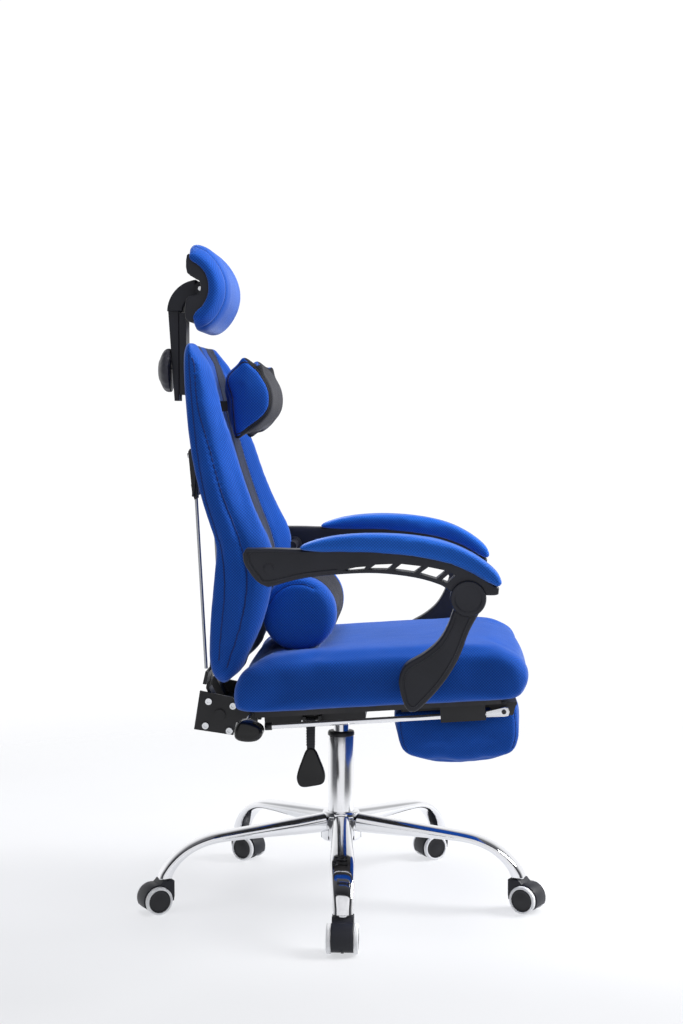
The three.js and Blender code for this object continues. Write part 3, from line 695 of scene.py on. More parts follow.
def groove(piece, path, width, depth):
    """Presses a sewn channel into a padded piece along a path of millimetre points."""
    mesh = piece.data
    places = coordinates(mesh)
    line = np.array([at(*point) for point in path])
    low, high = line.min(0) - width * MM, line.max(0) + width * MM
    near = np.where(np.all((places > low) & (places < high), axis=1))[0]
    normals = np.array([mesh.vertices[int(index)].normal for index in near])
    gaps = np.array([np.linalg.norm(line - places[index], axis=1).min() for index in near])
    share = np.exp(-((gaps / (width * MM * 0.5)) ** 2))
    if len(near):
        places[near] -= normals * (share * depth * MM)[:, None]
        set_coordinates(mesh, places)


def seam(piece, name, path, body, radius=0.9, depth=2.5, width=9, finish=None, closed=False, proud=0.0):
    """A sewn line on a padded piece: a pressed channel with the stitched edge in it, in millimetres. Unless
    another finish is given, the stitched edge is dark blue, partly the seam and partly painted shade of the
    channel.
    """
    dense = smooth_path(path, 8, closed)
    line = on_surface(surface_tree(piece), dense)
    groove(piece, line, width, depth)
    line = on_surface(surface_tree(piece), line, proud)
    placed(tube(name, line, radius, finish or SEAM_SHADE, closed, sides=8), body)


# ------------------------------------------------------------------ base and castors
LEG_STATIONS = [
    (34, 138, 34, 36), (90, 134.5, 29, 38), (150, 131.5, 23, 40), (210, 128, 18, 42), (250, 123.5, 16, 42),
    (283, 112.5, 15.5, 40), (307, 97, 17, 38), (324, 79.5, 20, 36), (334, 61.8, 25, 34),
]
LEG_SIDES = 28
LEG_COUNT = 5
FIRST_LEG = -86.6
STEM_RADIUS = 335
CASTER_YAWS = (-90, -30, 210, -30, 210)
TRAIL, WHEEL_RADIUS = 18, 25


def leg_angle(number):
    return math.radians(FIRST_LEG + 360 / LEG_COUNT * (number - 1))


def leg_ring(distance, height, tall, wide, along, angle):
    """One section of a base leg, a soft-cornered oval turned to the leg's direction."""
    across = Vector((-math.sin(angle), math.cos(angle), 0))
    outward = Vector((math.cos(angle), math.sin(angle), 0))
    up = outward * -along[1] + Vector((0, 0, along[0]))
    ring = []
    for k in range(LEG_SIDES):
        turn = 2 * math.pi * k / LEG_SIDES
        side, rise = (math.copysign(abs(value) ** 0.75, value) for value in (math.cos(turn), math.sin(turn)))
        point = outward * distance + Vector((0, 0, height)) + across * side * wide / 2 + up * rise * tall / 2
        ring.append(tuple(point))
    return ring


def base_leg(number):
    angle = leg_angle(number)
    stations = smooth_path(LEG_STATIONS, 5)
    rings = []
    for index, (distance, height, tall, wide) in enumerate(stations):
        before, after = stations[max(index - 1, 0)], stations[min(index + 1, len(stations) - 1)]
        along = Vector((after[0] - before[0], after[1] - before[1])).normalized()
        if index == len(stations) - 1:
            along = Vector((0, -1))
        rings.append(leg_ring(distance, height, tall, wide, along, angle))
    piece = mesh_piece(f"chrome_leg_{number}", *skin(rings), CHROME)
    placed(piece, "base", [f"base_leg_{number}"])


HUB_PROFILE = [
    (24.3, 106), (34, 106), (37.5, 109.5), (37.5, 143), (36.8, 145), (34, 146.5), (33.6, 148), (35.2, 150),
    (35.2, 154), (33.5, 157), (30, 158), (24.3, 158),
]
COLUMN_PROFILE = [
    (6, 100), (20, 100), (23, 103), (24, 110), (24, 298), (23.3, 299), (20, 299), (20, 108), (6, 108),
]
COLLAR_PROFILE = [
    (14.4, 200), (19.7, 200), (19.7, 299.3), (24.6, 299.3), (24.6, 304), (23.4, 306.4), (21, 307),
    (14.4, 307),
]
PISTON_PROFILE = [(6, 126), (14, 126), (14, 361), (12.5, 366), (0, 366), (0, 336), (6, 336)]
COLUMN_PARTS = (  # name, profile, finish, whether its profile is a closed loop, body, slot and CAD node
    ("chrome_hub", HUB_PROFILE, CHROME, True, "base", "chrome", "star_hub"),
    ("chrome_column", COLUMN_PROFILE, SATIN, True, "base", "chrome", "column_tube"),
    ("column_collar", COLLAR_PROFILE, NYLON, True, "base", "black_nylon", "column_sleeve"),
    ("chrome_piston", PISTON_PROFILE, CHROME, False, "seat_frame", "chrome", "gas_cylinder"),
)


def hub_and_column():
    for name, profile, finish, looped, body, slot, node in COLUMN_PARTS:
        placed(lathe(name, profile, CENTRE, Z_AXIS, finish, 64, looped), body, [node])


def caster_hood_outline():
    inner = arc(TRAIL, WHEEL_RADIUS, 23.8, -24, 190, 30)
    outer = arc(TRAIL, WHEEL_RADIUS, 27, 98, -24, 26)
    front = [(-12.2, 21.5), (-13.5, 30), (-13.5, 57), (-12, 58.6), (7.5, 58.6), (10.5, 55)]
    return front + outer + inner


def turned_about_stem(piece, number):
    """Moves a castor piece from the column axis to its leg's stem, at that castor's trailing angle."""
    leg = leg_angle(number)
    yaw = math.radians(CASTER_YAWS[number - 1])
    stem = at(STEM_RADIUS * math.cos(leg), STEM_RADIUS * math.sin(leg), 0)
    move = Matrix.Translation(stem) @ Matrix.Rotation(yaw, 4, "Z") @ Matrix.Translation(-ORIGIN)
    piece.data.transform(move)


def caster_fork(number):
    hood = slab(f"castor_hood_{number}", caster_hood_outline(), -18.3, 18.3, 1.4, PLASTIC)
    web = slab(f"castor_web_{number}", arc(TRAIL, WHEEL_RADIUS, 23.9, 0, 352, 44), -2.4, 2.4, 0.5, PLASTIC)
    stem = lathe(f"castor_stem_{number}", [(0, 58), (5.5, 58), (5.5, 71), (4.5, 72), (0, 72)],
                 CENTRE, Z_AXIS, ZINC, 24)
    collar = lathe(f"castor_collar_{number}", [(0, 58), (9.5, 58), (9.5, 60.5), (7.5, 61.6), (0, 61.6)],
                   CENTRE, Z_AXIS, ZINC, 32)
    for piece in (hood, web, stem, collar):
        turned_about_stem(piece, number)
        placed(piece, f"caster_{number}")
    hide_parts(f"caster_yoke_{number}")


def caster_wheel(number, side, sign):
    """A soft tyre round a black wheel with a domed cap."""
    centre, axis = (TRAIL, 0, WHEEL_RADIUS), (0, sign, 0)
    body = f"wheel_{number}_{side}"
    tyre = [(20.2, 18.8), (24, 18.8), (25, 20), (25, 24), (24.2, 25.8), (22.6, 26.7), (20.8, 26.7),
            (20.2, 26)]
    core = [(3.8, 3.2), (22.6, 3.2), (22.6, 18.4), (20, 18.8), (20, 24.6), (3.8, 24.6)]
    cap = [(0, 24.2), (19.9, 24.2), (19.9, 25.4), (18.4, 26.3), (16.6, 25.9), (15, 25.7), (9, 27), (0, 27.3)]
    pieces = [
        lathe(f"tyre_{number}_{side}", tyre, centre, axis, TYRE, 56, looped=True),
        lathe(f"wheel_core_{number}_{side}", core, centre, axis, PLASTIC, 40, looped=True),
        lathe(f"wheel_cap_{number}_{side}", cap, centre, axis, NYLON, 48),
    ]
    for piece in pieces:
        weld(piece)
        turned_about_stem(piece, number)
        placed(piece, body)
    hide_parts(body)


def rolling_base():
    hub_and_column()
    for number in range(1, LEG_COUNT + 1):
        base_leg(number)
        caster_fork(number)
        for side, sign in SIDES:
            caster_wheel(number, side, sign)


# ------------------------------------------------------------------ seat and footrest
SEAT_OUTLINE = [
    (-152, 1), (60, 1), (296, 1), (320, 10), (331, 32), (332, 54), (325, 77), (304, 90), (250, 96), (150, 97),
    (60, 97), (-50, 96), (-114, 93), (-153, 82), (-168, 50), (-168, 16),
]
SEAT_HALF = 248
SEAT_BOW, BOW_START, BOW_LENGTH = 9, 100, 230
SEAT_DROP, DROP_START, DROP_HEIGHT = 3, 400, 80
LUMBAR_X, LUMBAR_Z, LUMBAR_RADIUS, LUMBAR_HALF = -67, 539, 66, 163
FOOT_OUTLINE = [
    (106, -27.5), (214, -27.5), (314, -27.5), (319, -38), (320, -64), (319, -92), (309, -115), (286, -123),
    (211, -129), (150, -122), (115, -110), (104, -90), (101, -44),
]
FOOT_HALF = 153
RAIL_Y, RAIL_Z = 175, -33


def shaped_seat(piece):
    """Bows the seat's front edge, drops its top towards the sides and beds it round the lumbar pillow."""
    x, y, z = in_mm(coordinates(piece.data)).T
    x += SEAT_BOW * np.clip((x - BOW_START) / BOW_LENGTH, 0, 1) ** 2 * (1 - (y / SEAT_HALF) ** 2)
    z -= SEAT_DROP * np.clip((z - DROP_START) / DROP_HEIGHT, 0, 1) * np.abs(y / SEAT_HALF) ** 2.5
    away = np.hypot(x - LUMBAR_X, z - LUMBAR_Z)
    push = np.where(np.abs(y) < LUMBAR_HALF, np.maximum(LUMBAR_RADIUS + 1 - away, 0) / away, 0)
    x += (x - LUMBAR_X) * push
    z += (z - LUMBAR_Z) * push
    set_coordinates(piece.data, np.stack([x, y, z], axis=1) * MM + np.array(ORIGIN))


def seat_pad():
    outline = on_seat(smooth_path(SEAT_OUTLINE, 4, closed=True))
    piece = slab("seat_pad", outline, -SEAT_HALF, SEAT_HALF, 20, BLUE)

    def rests(x, y, z):
        return z < seat_point(x, 0, 6)[2]
    pad(piece, voxel=8, cap=12, held=rests, softness=40)
    shaped_seat(piece)
    placed(piece, "seat_frame", ["seat_cushion"])


def foot_pad():
    outline = on_seat(smooth_path(FOOT_OUTLINE, 4, closed=True))
    piece = slab("footrest_cushion", outline, -FOOT_HALF, FOOT_HALF, 16, BLUE)

    def rests(x, y, z):
        return z > seat_point(x, 0, -31)[2]
    pad(piece, voxel=6, cap=7, held=rests, softness=8)
    edge = [(112, -104), (105, -70), (106, -34)]
    front = [(316, -36), (319, -70), (309, -108)]
    for side, sign in SIDES:
        for label, rows in (("rear", edge), ("front", front)):
            line = [seat_point(x, sign * (FOOT_HALF - 6), z) for x, z in rows]
            seam(piece, f"footrest_{label}_seam_{side}", line, "footrest_panel", 0.8, 1.6, 7)
    placed(piece, "footrest_panel", ["footrest_pad"])


def footrest_rails():
    start, end = seat_point(-123, RAIL_Y, RAIL_Z), seat_point(264, RAIL_Y, RAIL_Z)
    rail = tube("footrest_bar_left", [start, end], 5, CHROME, sides=32)
    both_sides(rail, "footrest_bar", "footrest_rails", ["footrest_rail"])
    along = Vector(end) - Vector(start)
    stop = lathe("rail_stop_left", [(0, -4), (6.2, -4), (6.8, -3), (6.8, 7), (6, 8.4), (0, 8.4)], start,
                 along, NYLON, 32)
    both_sides(stop, "rail_stop", "footrest_rails")
    fitting = on_seat([(258, -38), (258, -28), (292, -22), (298, -24), (300, -31), (297, -38), (290, -39)])
    lug = slab("rail_lug_left", fitting, 170, 180, 1.2, ZINC)
    both_sides(lug, "rail_lug", "footrest_rails")
    head = lathe("lug_bolt_left", bolt_profile(4.2), seat_point(290, 180, -30), Y_AXIS, ZINC, 24)
    both_sides(head, "lug_bolt", "footrest_panel")


def bolt_profile(radius, height=3.2):
    """A socket-head bolt seen from outside: a rounded head with its recess."""
    hole = radius * 0.45
    return [(0, -1), (radius, -1), (radius, height * 0.7), (radius * 0.9, height), (hole, height),
            (hole * 0.9, height * 0.4), (0, height * 0.4)]


# ------------------------------------------------------------------ back
BACK_LEVELS = [
    (419, -201, -184, -181, 178), (429, -211, -175, -168, 194), (445, -217, -170, -155, 207),
    (470, -219, -162, -144, 216), (510, -217, -151, -127, 228), (550, -213, -144, -114, 236),
    (590, -209, -141, -107, 239), (628, -205, -143, -106, 239), (665, -204, -152, -113, 237),
    (705, -217, -167, -134, 234), (750, -232, -183, -155, 229), (810, -247, -202, -176, 223),
    (870, -256, -217, -193, 217), (920, -261, -229, -204, 211), (965, -264, -240, -215, 205),
    (995, -265, -247, -234, 196), (1008, -262, -251, -246, 186), (1014, -258, -254, -252, 176),
]


def back_ring(z, rear, panel, ridge, half_width):
    """One level of the back: flat rear, full sides, two forward wings and a sunken centre panel."""
    wing = half_width - 50
    half = [(rear, half_width - 34), (rear + 10, half_width - 9), ((rear + ridge) / 2, half_width),
            (ridge - 12, half_width - 14), (ridge, wing), (panel + (ridge - panel) * 0.35, wing - 26),
            (panel, wing - 54)]
    ring = [(rear, 0), *half, (panel, 0), *[(x, -y) for x, y in reversed(half)]]
    dense = smooth_path(ring, 4, closed=True)
    return [(x, y, z) for x, y in reversed(dense)]


BACK_SIDE_SEAM = [(990, -243), (908, -237), (833, -214), (751, -190), (696, -167), (625, -150), (591, -149),
                  (534, -159), (486, -174), (450, -188)]
BACK_REAR_SEAM = [(994, -256), (948, -253), (897, -248), (835, -241), (774, -233), (734, -225), (695, -212),
                  (648, -195), (619, -189), (575, -189), (520, -196), (463, -203)]


def side_line(rows, sign, reach=1.0):
    """A seam down the side of the back, from [height, x] rows."""
    heights, widths = ([level[column] for level in BACK_LEVELS] for column in (0, 4))
    return [(x, sign * float(np.interp(z, heights, widths)) * reach, z) for z, x in rows]


def stripe_edge(sign, beside):
    """A line up the front of the back, a little beside the middle of a stripe."""
    return [(panel + 16, sign * (stripe_middle(z) + beside), z) for z, _, panel, *_ in BACK_LEVELS[2:-1]]


def back_pad():
    rings = [back_ring(*level) for level in smooth_path(BACK_LEVELS, 3)]
    piece = mesh_piece("back_pad", *skin(rings), BACK_FABRIC)

    heights, rears = ([level[column] for level in BACK_LEVELS] for column in (0, 1))

    def rests(x, y, z):
        return x < float(np.interp(z, heights, rears)) + 6
    pad(piece, voxel=7, cap=8, held=rests, softness=3)
    for side, sign in SIDES:
        seam(piece, f"back_side_seam_{side}", side_line(BACK_SIDE_SEAM, sign), "back", 1.3, 3.5, 13)
        seam(piece, f"back_rear_seam_{side}", side_line(BACK_REAR_SEAM, sign, 0.99), "back", 1.2, 2.5, 11)
        for label, beside in (("inner", -STRIPE_HALF), ("outer", STRIPE_HALF)):
            seam(piece, f"stripe_seam_{label}_{side}", stripe_edge(sign, beside), "back", 0.7, 2.4, 8)
    placed(piece, "back", ["back_cushion"])


NECK_OUTLINE = [
    (-205, 951), (-198, 918), (-191, 868), (-182, 852), (-155, 864), (-124, 889), (-115, 914), (-121, 943),
    (-145, 974), (-166, 983), (-192, 970),
]
NECK_HALF, NECK_SEAM = 128, 118
NECK_EARS = (  # the left corners, the way each is drawn out and how far round it that reaches
    ((-164, 112, 978), (-2, 3, 9), 11),
    ((-138, 108, 968), (3, 0, 9), 9),
    ((-178, 112, 856), (-1, 3, -7), 12),
)
LUMBAR_BAND = 112


def two_tone(piece, chosen, second):
    """Gives the faces that chosen() picks, by centre and normal, a second material."""
    piece.data.materials.append(second)
    for face in piece.data.polygons:
        middle = (face.center - ORIGIN) / MM
        if chosen(middle, face.normal):
            face.material_index = 1


def pulled_corner(piece, corner, direction, reach):
    """Draws a sewn corner out to a soft ear."""
    places = coordinates(piece.data)
    gap = np.linalg.norm(places - np.array(at(*corner)), axis=1) / MM
    places += np.exp(-(gap / reach) ** 2)[:, None] * np.array(direction) * MM
    set_coordinates(piece.data, places)


def neck_pad():
    outline = smooth_path(NECK_OUTLINE, 5, closed=True)
    piece = slab("neck_pillow_pad", outline, -NECK_HALF, NECK_HALF, 20, BLUE)
    pad(piece, voxel=5, cap=7, softness=3)
    for side, sign in SIDES:
        for (x, y, z), (dx, dy, dz), reach in NECK_EARS:
            pulled_corner(piece, (x, sign * y, z), (dx, sign * dy, dz), reach)

    def front_panel(middle, normal):
        forward = middle.x > -190 and (normal.x > 0.1 or normal.z < -0.35)
        return abs(middle.y) < NECK_SEAM and forward
    two_tone(piece, front_panel, GREY)
    for side, sign in SIDES:
        line = [(x, sign * NECK_SEAM, z) for x, z in inset(outline, 2)[::4]]
        seam(piece, f"neck_end_seam_{side}", line, "back", 1.0, 2, 8, PIPING, closed=True, proud=0.2)
    placed(piece, "back", ["neck_pillow"])


def lumbar_pad():
    outline = arc(LUMBAR_X, LUMBAR_Z, LUMBAR_RADIUS, 0, 350, 35)
    piece = slab("lumbar_pillow_pad", outline, -LUMBAR_HALF, LUMBAR_HALF, 20, BLUE)
    pad(piece, voxel=6, cap=7, softness=16)
    two_tone(piece, lambda middle, normal: abs(middle.y) < LUMBAR_BAND, GREY)
    for side, sign in SIDES:
        ends = [(x, sign * (LUMBAR_HALF - 6), z) for x, z in arc(LUMBAR_X, LUMBAR_Z, 55, 60, 160, 12)]
        seam(piece, f"lumbar_end_seam_{side}", ends, "back", 0.8, 2.4, 9)
        band = [(x, sign * LUMBAR_BAND, z) for x, z in arc(LUMBAR_X, LUMBAR_Z, LUMBAR_RADIUS, 0, 345, 23)]
        seam(piece, f"lumbar_band_seam_{side}", band, "back", 1.0, 1.5, 7, PIPING, closed=True)
    placed(piece, "back", ["lumbar_pillow"])


# ------------------------------------------------------------------ headrest
HEAD_OUTLINE = [
    (-254, 1051), (-256, 1040), (-237, 1037), (-216, 1052), (-199, 1079), (-192.5, 1106), (-196, 1133),
    (-210, 1161), (-232, 1184), (-255, 1192), (-264, 1185), (-263, 1173), (-251, 1168), (-229.5, 1150),
    (-220.8, 1124), (-220.8, 1098), (-231, 1073),
]
SHELL_OUTLINE = [
    (-265, 1169), (-265, 1138), (-245, 1126), (-241, 1110), (-248, 1100), (-266, 1093), (-268, 1058),
    (-252, 1053), (-231, 1074), (-221.5, 1098), (-221.5, 1124), (-230, 1150), (-252, 1167),
]
HEAD_HALF, HEAD_SEAM, SHELL_HALF = 139, 108, 124
ARM_CENTRE = (-257, 1075)
HEAD_PIVOT = (-254, 1117)
HEAD_CENTRE = (-250, 1112)


def head_pad():
    outline = smooth_path(HEAD_OUTLINE, 3, closed=True)
    piece = slab("headrest_cushion", outline, -HEAD_HALF, HEAD_HALF, 1, BLUE)

    def rests(x, y, z):
        return x < -226 and 1056 < z < 1166
    remesh(piece, 5)
    narrowed_ends(piece, HEAD_CENTRE, 70, HEAD_HALF, 0.3)
    pad(piece, voxel=5, cap=6, held=rests, softness=8)
    for side, sign in SIDES:
        line = [(x, sign * HEAD_SEAM, z) for x, z in HEAD_OUTLINE[2:10]]
        seam(piece, f"head_side_seam_{side}", line, "headrest", 0.5, 1.3, 9)
    placed(piece, "headrest", ["headrest_pad"])


def head_shell():
    outline = smooth_path(SHELL_OUTLINE, 3, closed=True)
    for side, sign in SIDES:
        y0, y1 = sorted((sign * 28, sign * SHELL_HALF))
        wing = slab(f"head_shell_{side}", outline, y0, y1, 2.5, PLASTIC)
        placed(wing, "headrest")
    pin = rod("head_pin", side_point(HEAD_PIVOT, 0), Y_AXIS, 4, -31, 31, ZINC)
    placed(pin, "headrest", ["headrest_shell"])
    band = strip([(-230, 1079), (-224.5, 1098), (-224.5, 1124), (-232, 1145)], 4)
    bridge = slab("head_bridge", band, -30, 30, 1, PLASTIC)
    placed(bridge, "headrest")


def head_post():
    neck = [*arc(*ARM_CENTRE, 59, 178, 96, 16), *arc(*ARM_CENTRE, 30, 96, 178, 14)]
    arm = slab("post_neck", neck, -24, 24, 3, PLASTIC)
    placed(arm, "headrest_post", ["headrest_post"])
    blade = [(-294.8, 914), (-303.5, 914), (-314.5, 1078), (-294.8, 1078)]
    halves = [slab(f"post_blade_{label}", blade, y0, y1, 1.5, PLASTIC)
              for label, y0, y1 in (("left", 4.6, 20), ("right", -20, -4.6))]
    web = [(-294.8, 978), (-307.8, 978), (-314.5, 1078), (-294.8, 1078)]
    cross = slab("post_cross", web, -6, 6, 0.5, PLASTIC)
    barrel = lathe("post_barrel", [(0, -24), (12, -24), (13, -23), (13, 23), (12, 24), (0, 24)],
                   side_point(HEAD_PIVOT, 0), Y_AXIS, PLASTIC, 40)
    for piece in (*halves, cross, barrel):
        placed(piece, "headrest_post")


KNOB_CENTRE = (-310.8, 0, 970)
KNOB_FLUTES, FLUTE_DEPTH, FLUTED_FROM = 16, 0.03, 0.0365


def height_knob():
    """The round clamp knob behind the back, with finger flutes on its rim."""
    profile = [(0, 0), (38, 0), (40, 1.5), (40.5, 5), (39.5, 9), (37, 12.5), (33, 15.5), (27, 18.5), (21, 21),
               (18, 22.6), (16, 23), (14, 22), (0, 22)]
    made = lathe("clamp_knob", profile, KNOB_CENTRE, (-1, 0, 0), KNOB_PLASTIC, 96)
    axis = np.array(at(*KNOB_CENTRE))
    places = coordinates(made.data)
    radial = places - axis
    angle = np.arctan2(radial[:, 2], radial[:, 1])
    distance = np.hypot(radial[:, 1], radial[:, 2])
    wave = 0.5 + 0.5 * np.cos(angle * KNOB_FLUTES)
    flute = np.where(distance > FLUTED_FROM, 1 - FLUTE_DEPTH * wave, 1.0)
    places[:, 1] = axis[1] + radial[:, 1] * flute
    places[:, 2] = axis[2] + radial[:, 2] * flute
    set_coordinates(made.data, places)
    placed(made, "headrest_knob", ["headrest_knob"])
    placed(rod("clamp_screw", KNOB_CENTRE, X_AXIS, 4, -2, 36, ZINC), "headrest_knob")


# ------------------------------------------------------------------ armrests, drawn on the left
ARM_TOP = [(-144, 666), (-94, 666), (-53, 665), (14, 666), (76, 665), (138, 660), (199, 647), (239, 628),
           (277, 602)]
ARM_LOW = [(-149, 657), (-146, 640), (-128, 614), (-110, 603), (-98, 604), (-48, 617), (14, 624), (76, 626),
           (138, 619), (180, 607), (204, 594), (262, 590), (276, 592)]
ARM_WINDOWS = [
    [(17, 631), (30, 629), (52, 631), (58, 637.5), (40, 636)],
    [(60, 632), (92, 632), (104, 642), (72, 640.5)],
    [(102, 631.5), (136, 627), (151, 638), (115, 642)],
    [(144, 625.5), (173, 617), (190, 631), (160, 637)],
    [(181, 614.5), (192, 610.5), (205, 623), (197, 628.5)],
]
ARM_REAR_PANEL = [(-140, 655), (-137, 641), (-122, 620), (-108, 611), (-50, 624), (8, 631)]
PAD_OUTLINE = [
    (-53, 667), (14, 667.5), (76, 666.5), (138, 661.5), (199, 648.5), (239, 629.5), (274, 606), (281, 614),
    (271, 632), (239, 657), (196, 677), (137, 688), (76, 692), (21, 690), (-21, 682),
]
LEG_OUTLINE = [
    (206, 575), (192, 538), (176, 512), (153, 492), (126, 476), (116, 464), (111, 445), (116, 418),
    (124, 399), (134, 394), (148, 401), (184, 441), (210, 483), (228, 530), (244, 560), (251, 580),
    (226, 590),
]
LEG_RIM = [
    (206, 553), (199, 534), (183, 507), (159, 486), (132, 470), (123, 460), (119, 444), (123, 420),
    (128, 406), (135, 403), (143, 408), (177, 446), (202, 487), (220, 532), (229, 552),
]
HUB = (226, 585)
LEG_FOOT = (128, 414)
LUG_SPACES = ((31.5, 255, 284), (29, 283, 312))  # radius, inner side and outer side
ARM_PIVOT = (-106, 633)


def bead(stem, outline, y, radius, body, sides=10):
    """A moulded bead along an [x, z] line on the outside of both arms."""
    made = tube(f"{stem}_left", [(x, y, z) for x, z in outline], radius, PLASTIC, sides=sides)
    both_sides(made, stem, body)


def arm_frames():
    top = smooth_path(ARM_TOP, 4)
    low = smooth_path(ARM_LOW, 4)
    frame_piece = slab("arm_beam_left", low + top[::-1], 264, 303, 4, PLASTIC)
    cut_through(frame_piece, ARM_WINDOWS, 255, 312)
    both_sides(frame_piece, "arm_beam", "arm", ["arm_frame"])
    bead("arm_rim", smooth_path([*ARM_REAR_PANEL[::-1], (-136, 661)], 5), 302.6, 2.2, "arm")
    bead("arm_edge", smooth_path([(x, z - 4.6) for x, z in ARM_TOP[:-2]], 5), 302.4, 1.8, "arm")
    cover = lathe("arm_pivot_left", [(0, -1), (9, -1), (9, 0.6), (7.8, 1.4), (3, 1.6), (0, 1.6)],
                  side_point(ARM_PIVOT, 302.8), Y_AXIS, PLASTIC, 32)
    both_sides(cover, "arm_pivot", "arm")
    flanged = [(0, 190), (9, 190), (9, 256), (14, 257), (14, 262), (13, 263), (0, 263)]
    spacer = lathe("arm_spacer_left", flanged, side_point(ARM_PIVOT, 0), Y_AXIS, PLASTIC, 32)
    both_sides(spacer, "arm_spacer", "back")
    lug = lathe("arm_lug_left", [(7.3, 0), (28, 0), (29, 1), (29, 20), (7.3, 20)],
                side_point(HUB, 263.5), Y_AXIS, PLASTIC, 48, looped=True)
    both_sides(lug, "arm_lug", "arm")


def arm_pads():
    outline = smooth_path(PAD_OUTLINE, 3, closed=True)
    # The lighter arm mesh on these pads is painted light.
    piece = slab("arm_cushion_left", outline, 252, 318, 7, PAINTED_LIGHT_BLUE)
    pad(piece, voxel=4.5, cap=4, softness=5)
    _, right = both_sides(piece, "arm_cushion", "arm", ["arm_pad"])


def arm_legs():
    outline = smooth_path(LEG_OUTLINE, 4, closed=True)
    blade = slab("arm_leg_blade_left", outline, 266, 302, 4.5, PLASTIC)
    for space in LUG_SPACES:
        cut_away(blade, rod("cutter", side_point(HUB, 0), Y_AXIS, *space, PLASTIC, 48))
    both_sides(blade, "arm_leg_blade", "arm_leg", ["arm_leg"])
    bead("arm_leg_rim", smooth_path(LEG_RIM, 5), 301.8, 1.6, "arm_leg", sides=8)
    disc = [(0, 0), (30, 0), (30, 22.5), (28.5, 25.2), (25.5, 26), (22.5, 25.2), (21, 24), (0, 24)]
    hub = lathe("arm_hub_left", disc, side_point(HUB, 284.3), Y_AXIS, PLASTIC, 56)
    both_sides(hub, "arm_hub", "arm_leg")
    pin = rod("arm_hub_pin_left", side_point(HUB, 265), Y_AXIS, 7, 0, 22, ZINC, 48)
    both_sides(pin, "arm_hub_pin", "arm_leg")
    foot = rod("arm_foot_left", side_point(LEG_FOOT, 252), Y_AXIS, 8, 0, 17, ZINC, 48)
    both_sides(foot, "arm_foot", "arm_leg")


# ------------------------------------------------------------------ mechanism, levers and hardware
ROD_PLATE = [(-247, 742), (-253, 739), (-257.5, 752), (-264, 824), (-261, 829), (-250, 829)]
BRACKET_BOLTS = [(-234, 374), (-190, 366), (-240, 330), (-197, 321)]
LEVER_STEM = [(-57, 346.5), (-41, 346.5), (-42, 290), (-56, 290)]
PADDLE = [
    (-56, 292), (-42, 292), (-31, 270), (-23.5, 247), (-27, 231), (-46, 225.5), (-65, 224), (-73, 233),
    (-73.5, 247), (-66, 270),
]
STEM_RIBS = (299, 304, 309, 314, 319, 324, 329)
GRIP = [
    (-172, 350), (-163, 361), (-147, 360.5), (-128, 352), (-124, 340), (-134, 329), (-155, 327), (-171, 333),
]


def bracket_bolts():
    for number, (x, z) in enumerate(BRACKET_BOLTS, 1):
        head = lathe("bolt", bolt_profile(6.6, 4.4), (x, 90, z), Y_AXIS, ZINC, 32)
        both_sides(head, f"bracket_bolt_{number}", "seat_frame")


def levers():
    stem = slab("lever_stem", LEVER_STEM, -109, -100, 1.5, PLASTIC)
    paddle = slab("lever_paddle", smooth_path(PADDLE, 4, closed=True), -112, -98, 4, GLOSSY)
    for number, z in enumerate(STEM_RIBS, 1):
        band = [(-57, z), (-41.5, z), (-41.5, z + 2), (-57, z + 2)]
        placed(slab(f"lever_rib_{number}", band, -109.6, -99.4, 0.4, PLASTIC), "height_lever")
    pivot = rod("lever_pivot", (-49, -99, 342), X_AXIS, 5, -17, 17, ZINC)
    placed(stem, "height_lever", ["height_lever"])
    placed(paddle, "height_lever")
    placed(pivot, "height_lever")
    bar = rod("recline_rod", (-158, 0, 351), Y_AXIS, 4, -190, -80, ZINC)
    grip = slab("recline_grip", smooth_path(GRIP, 5, closed=True), -234, -185, 9, GLOSSY)
    placed(bar, "recline_lever", ["recline_lever"])
    placed(grip, "recline_lever")


def rear_rods():
    """Steel rods behind the back, with their upper ends in black plates bolted to the rod bracket."""
    bar = tube("back_rod_left", [(-234.5, 120, 438), (-251.5, 120, 754)], 3, STEEL, sides=20)
    both_sides(bar, "back_rod", "back", ["rear_rod"])
    plate = slab("rod_plate_left", ROD_PLATE, 112, 128, 1.2, BLACK_METAL)
    both_sides(plate, "rod_plate", "back")
    for label, x, z in (("upper", -263, 817), ("lower", -256.5, 763)):
        bolt = lathe("rod_bolt", bolt_profile(4.5, 3), (x, 120, z), (-1, 0, -0.08), ZINC, 24)
        both_sides(bolt, f"rod_bolt_{label}", "back")


STRAP_SECTION = ((-1, -9), (1, -9), (1, 9), (-1, 9))


def strap_loop():
    """The elastic strap that holds the neck pillow, running out of the slot on each side of the panel."""
    for side, sign in SIDES:
        path = smooth_path([(-222, sign * 96, 906), (-207, sign * 92, 904), (-196, sign * 88, 905)], 6)
        rings = [[(x, y + dy, z + dz) for dy, dz in STRAP_SECTION] for x, y, z in path]
        strap = mesh_piece(f"pillow_strap_{side}", *skin(rings), PIPING)
        placed(strap, "back")


# ------------------------------------------------------------------ CAD nodes that stay
KEPT_NODES = {
    "seat_board": STAINED_PLY, "footrest_board": STAINED_PLY, "mechanism_housing": BLACK_METAL,
    "rail_sleeve_left": BLACK_METAL, "rail_sleeve_right": BLACK_METAL, "recline_bracket": BLACK_METAL,
    "hinge_axle": BLACK_METAL, "back_frame": BLACK_METAL, "rod_bracket": BLACK_METAL, "post_guide": PLASTIC,
    "thrust_bearing": ZINC, "gas_rod": ZINC,
}


EDGE_WIDTH, EDGE_ANGLE = 0.8, math.radians(40)


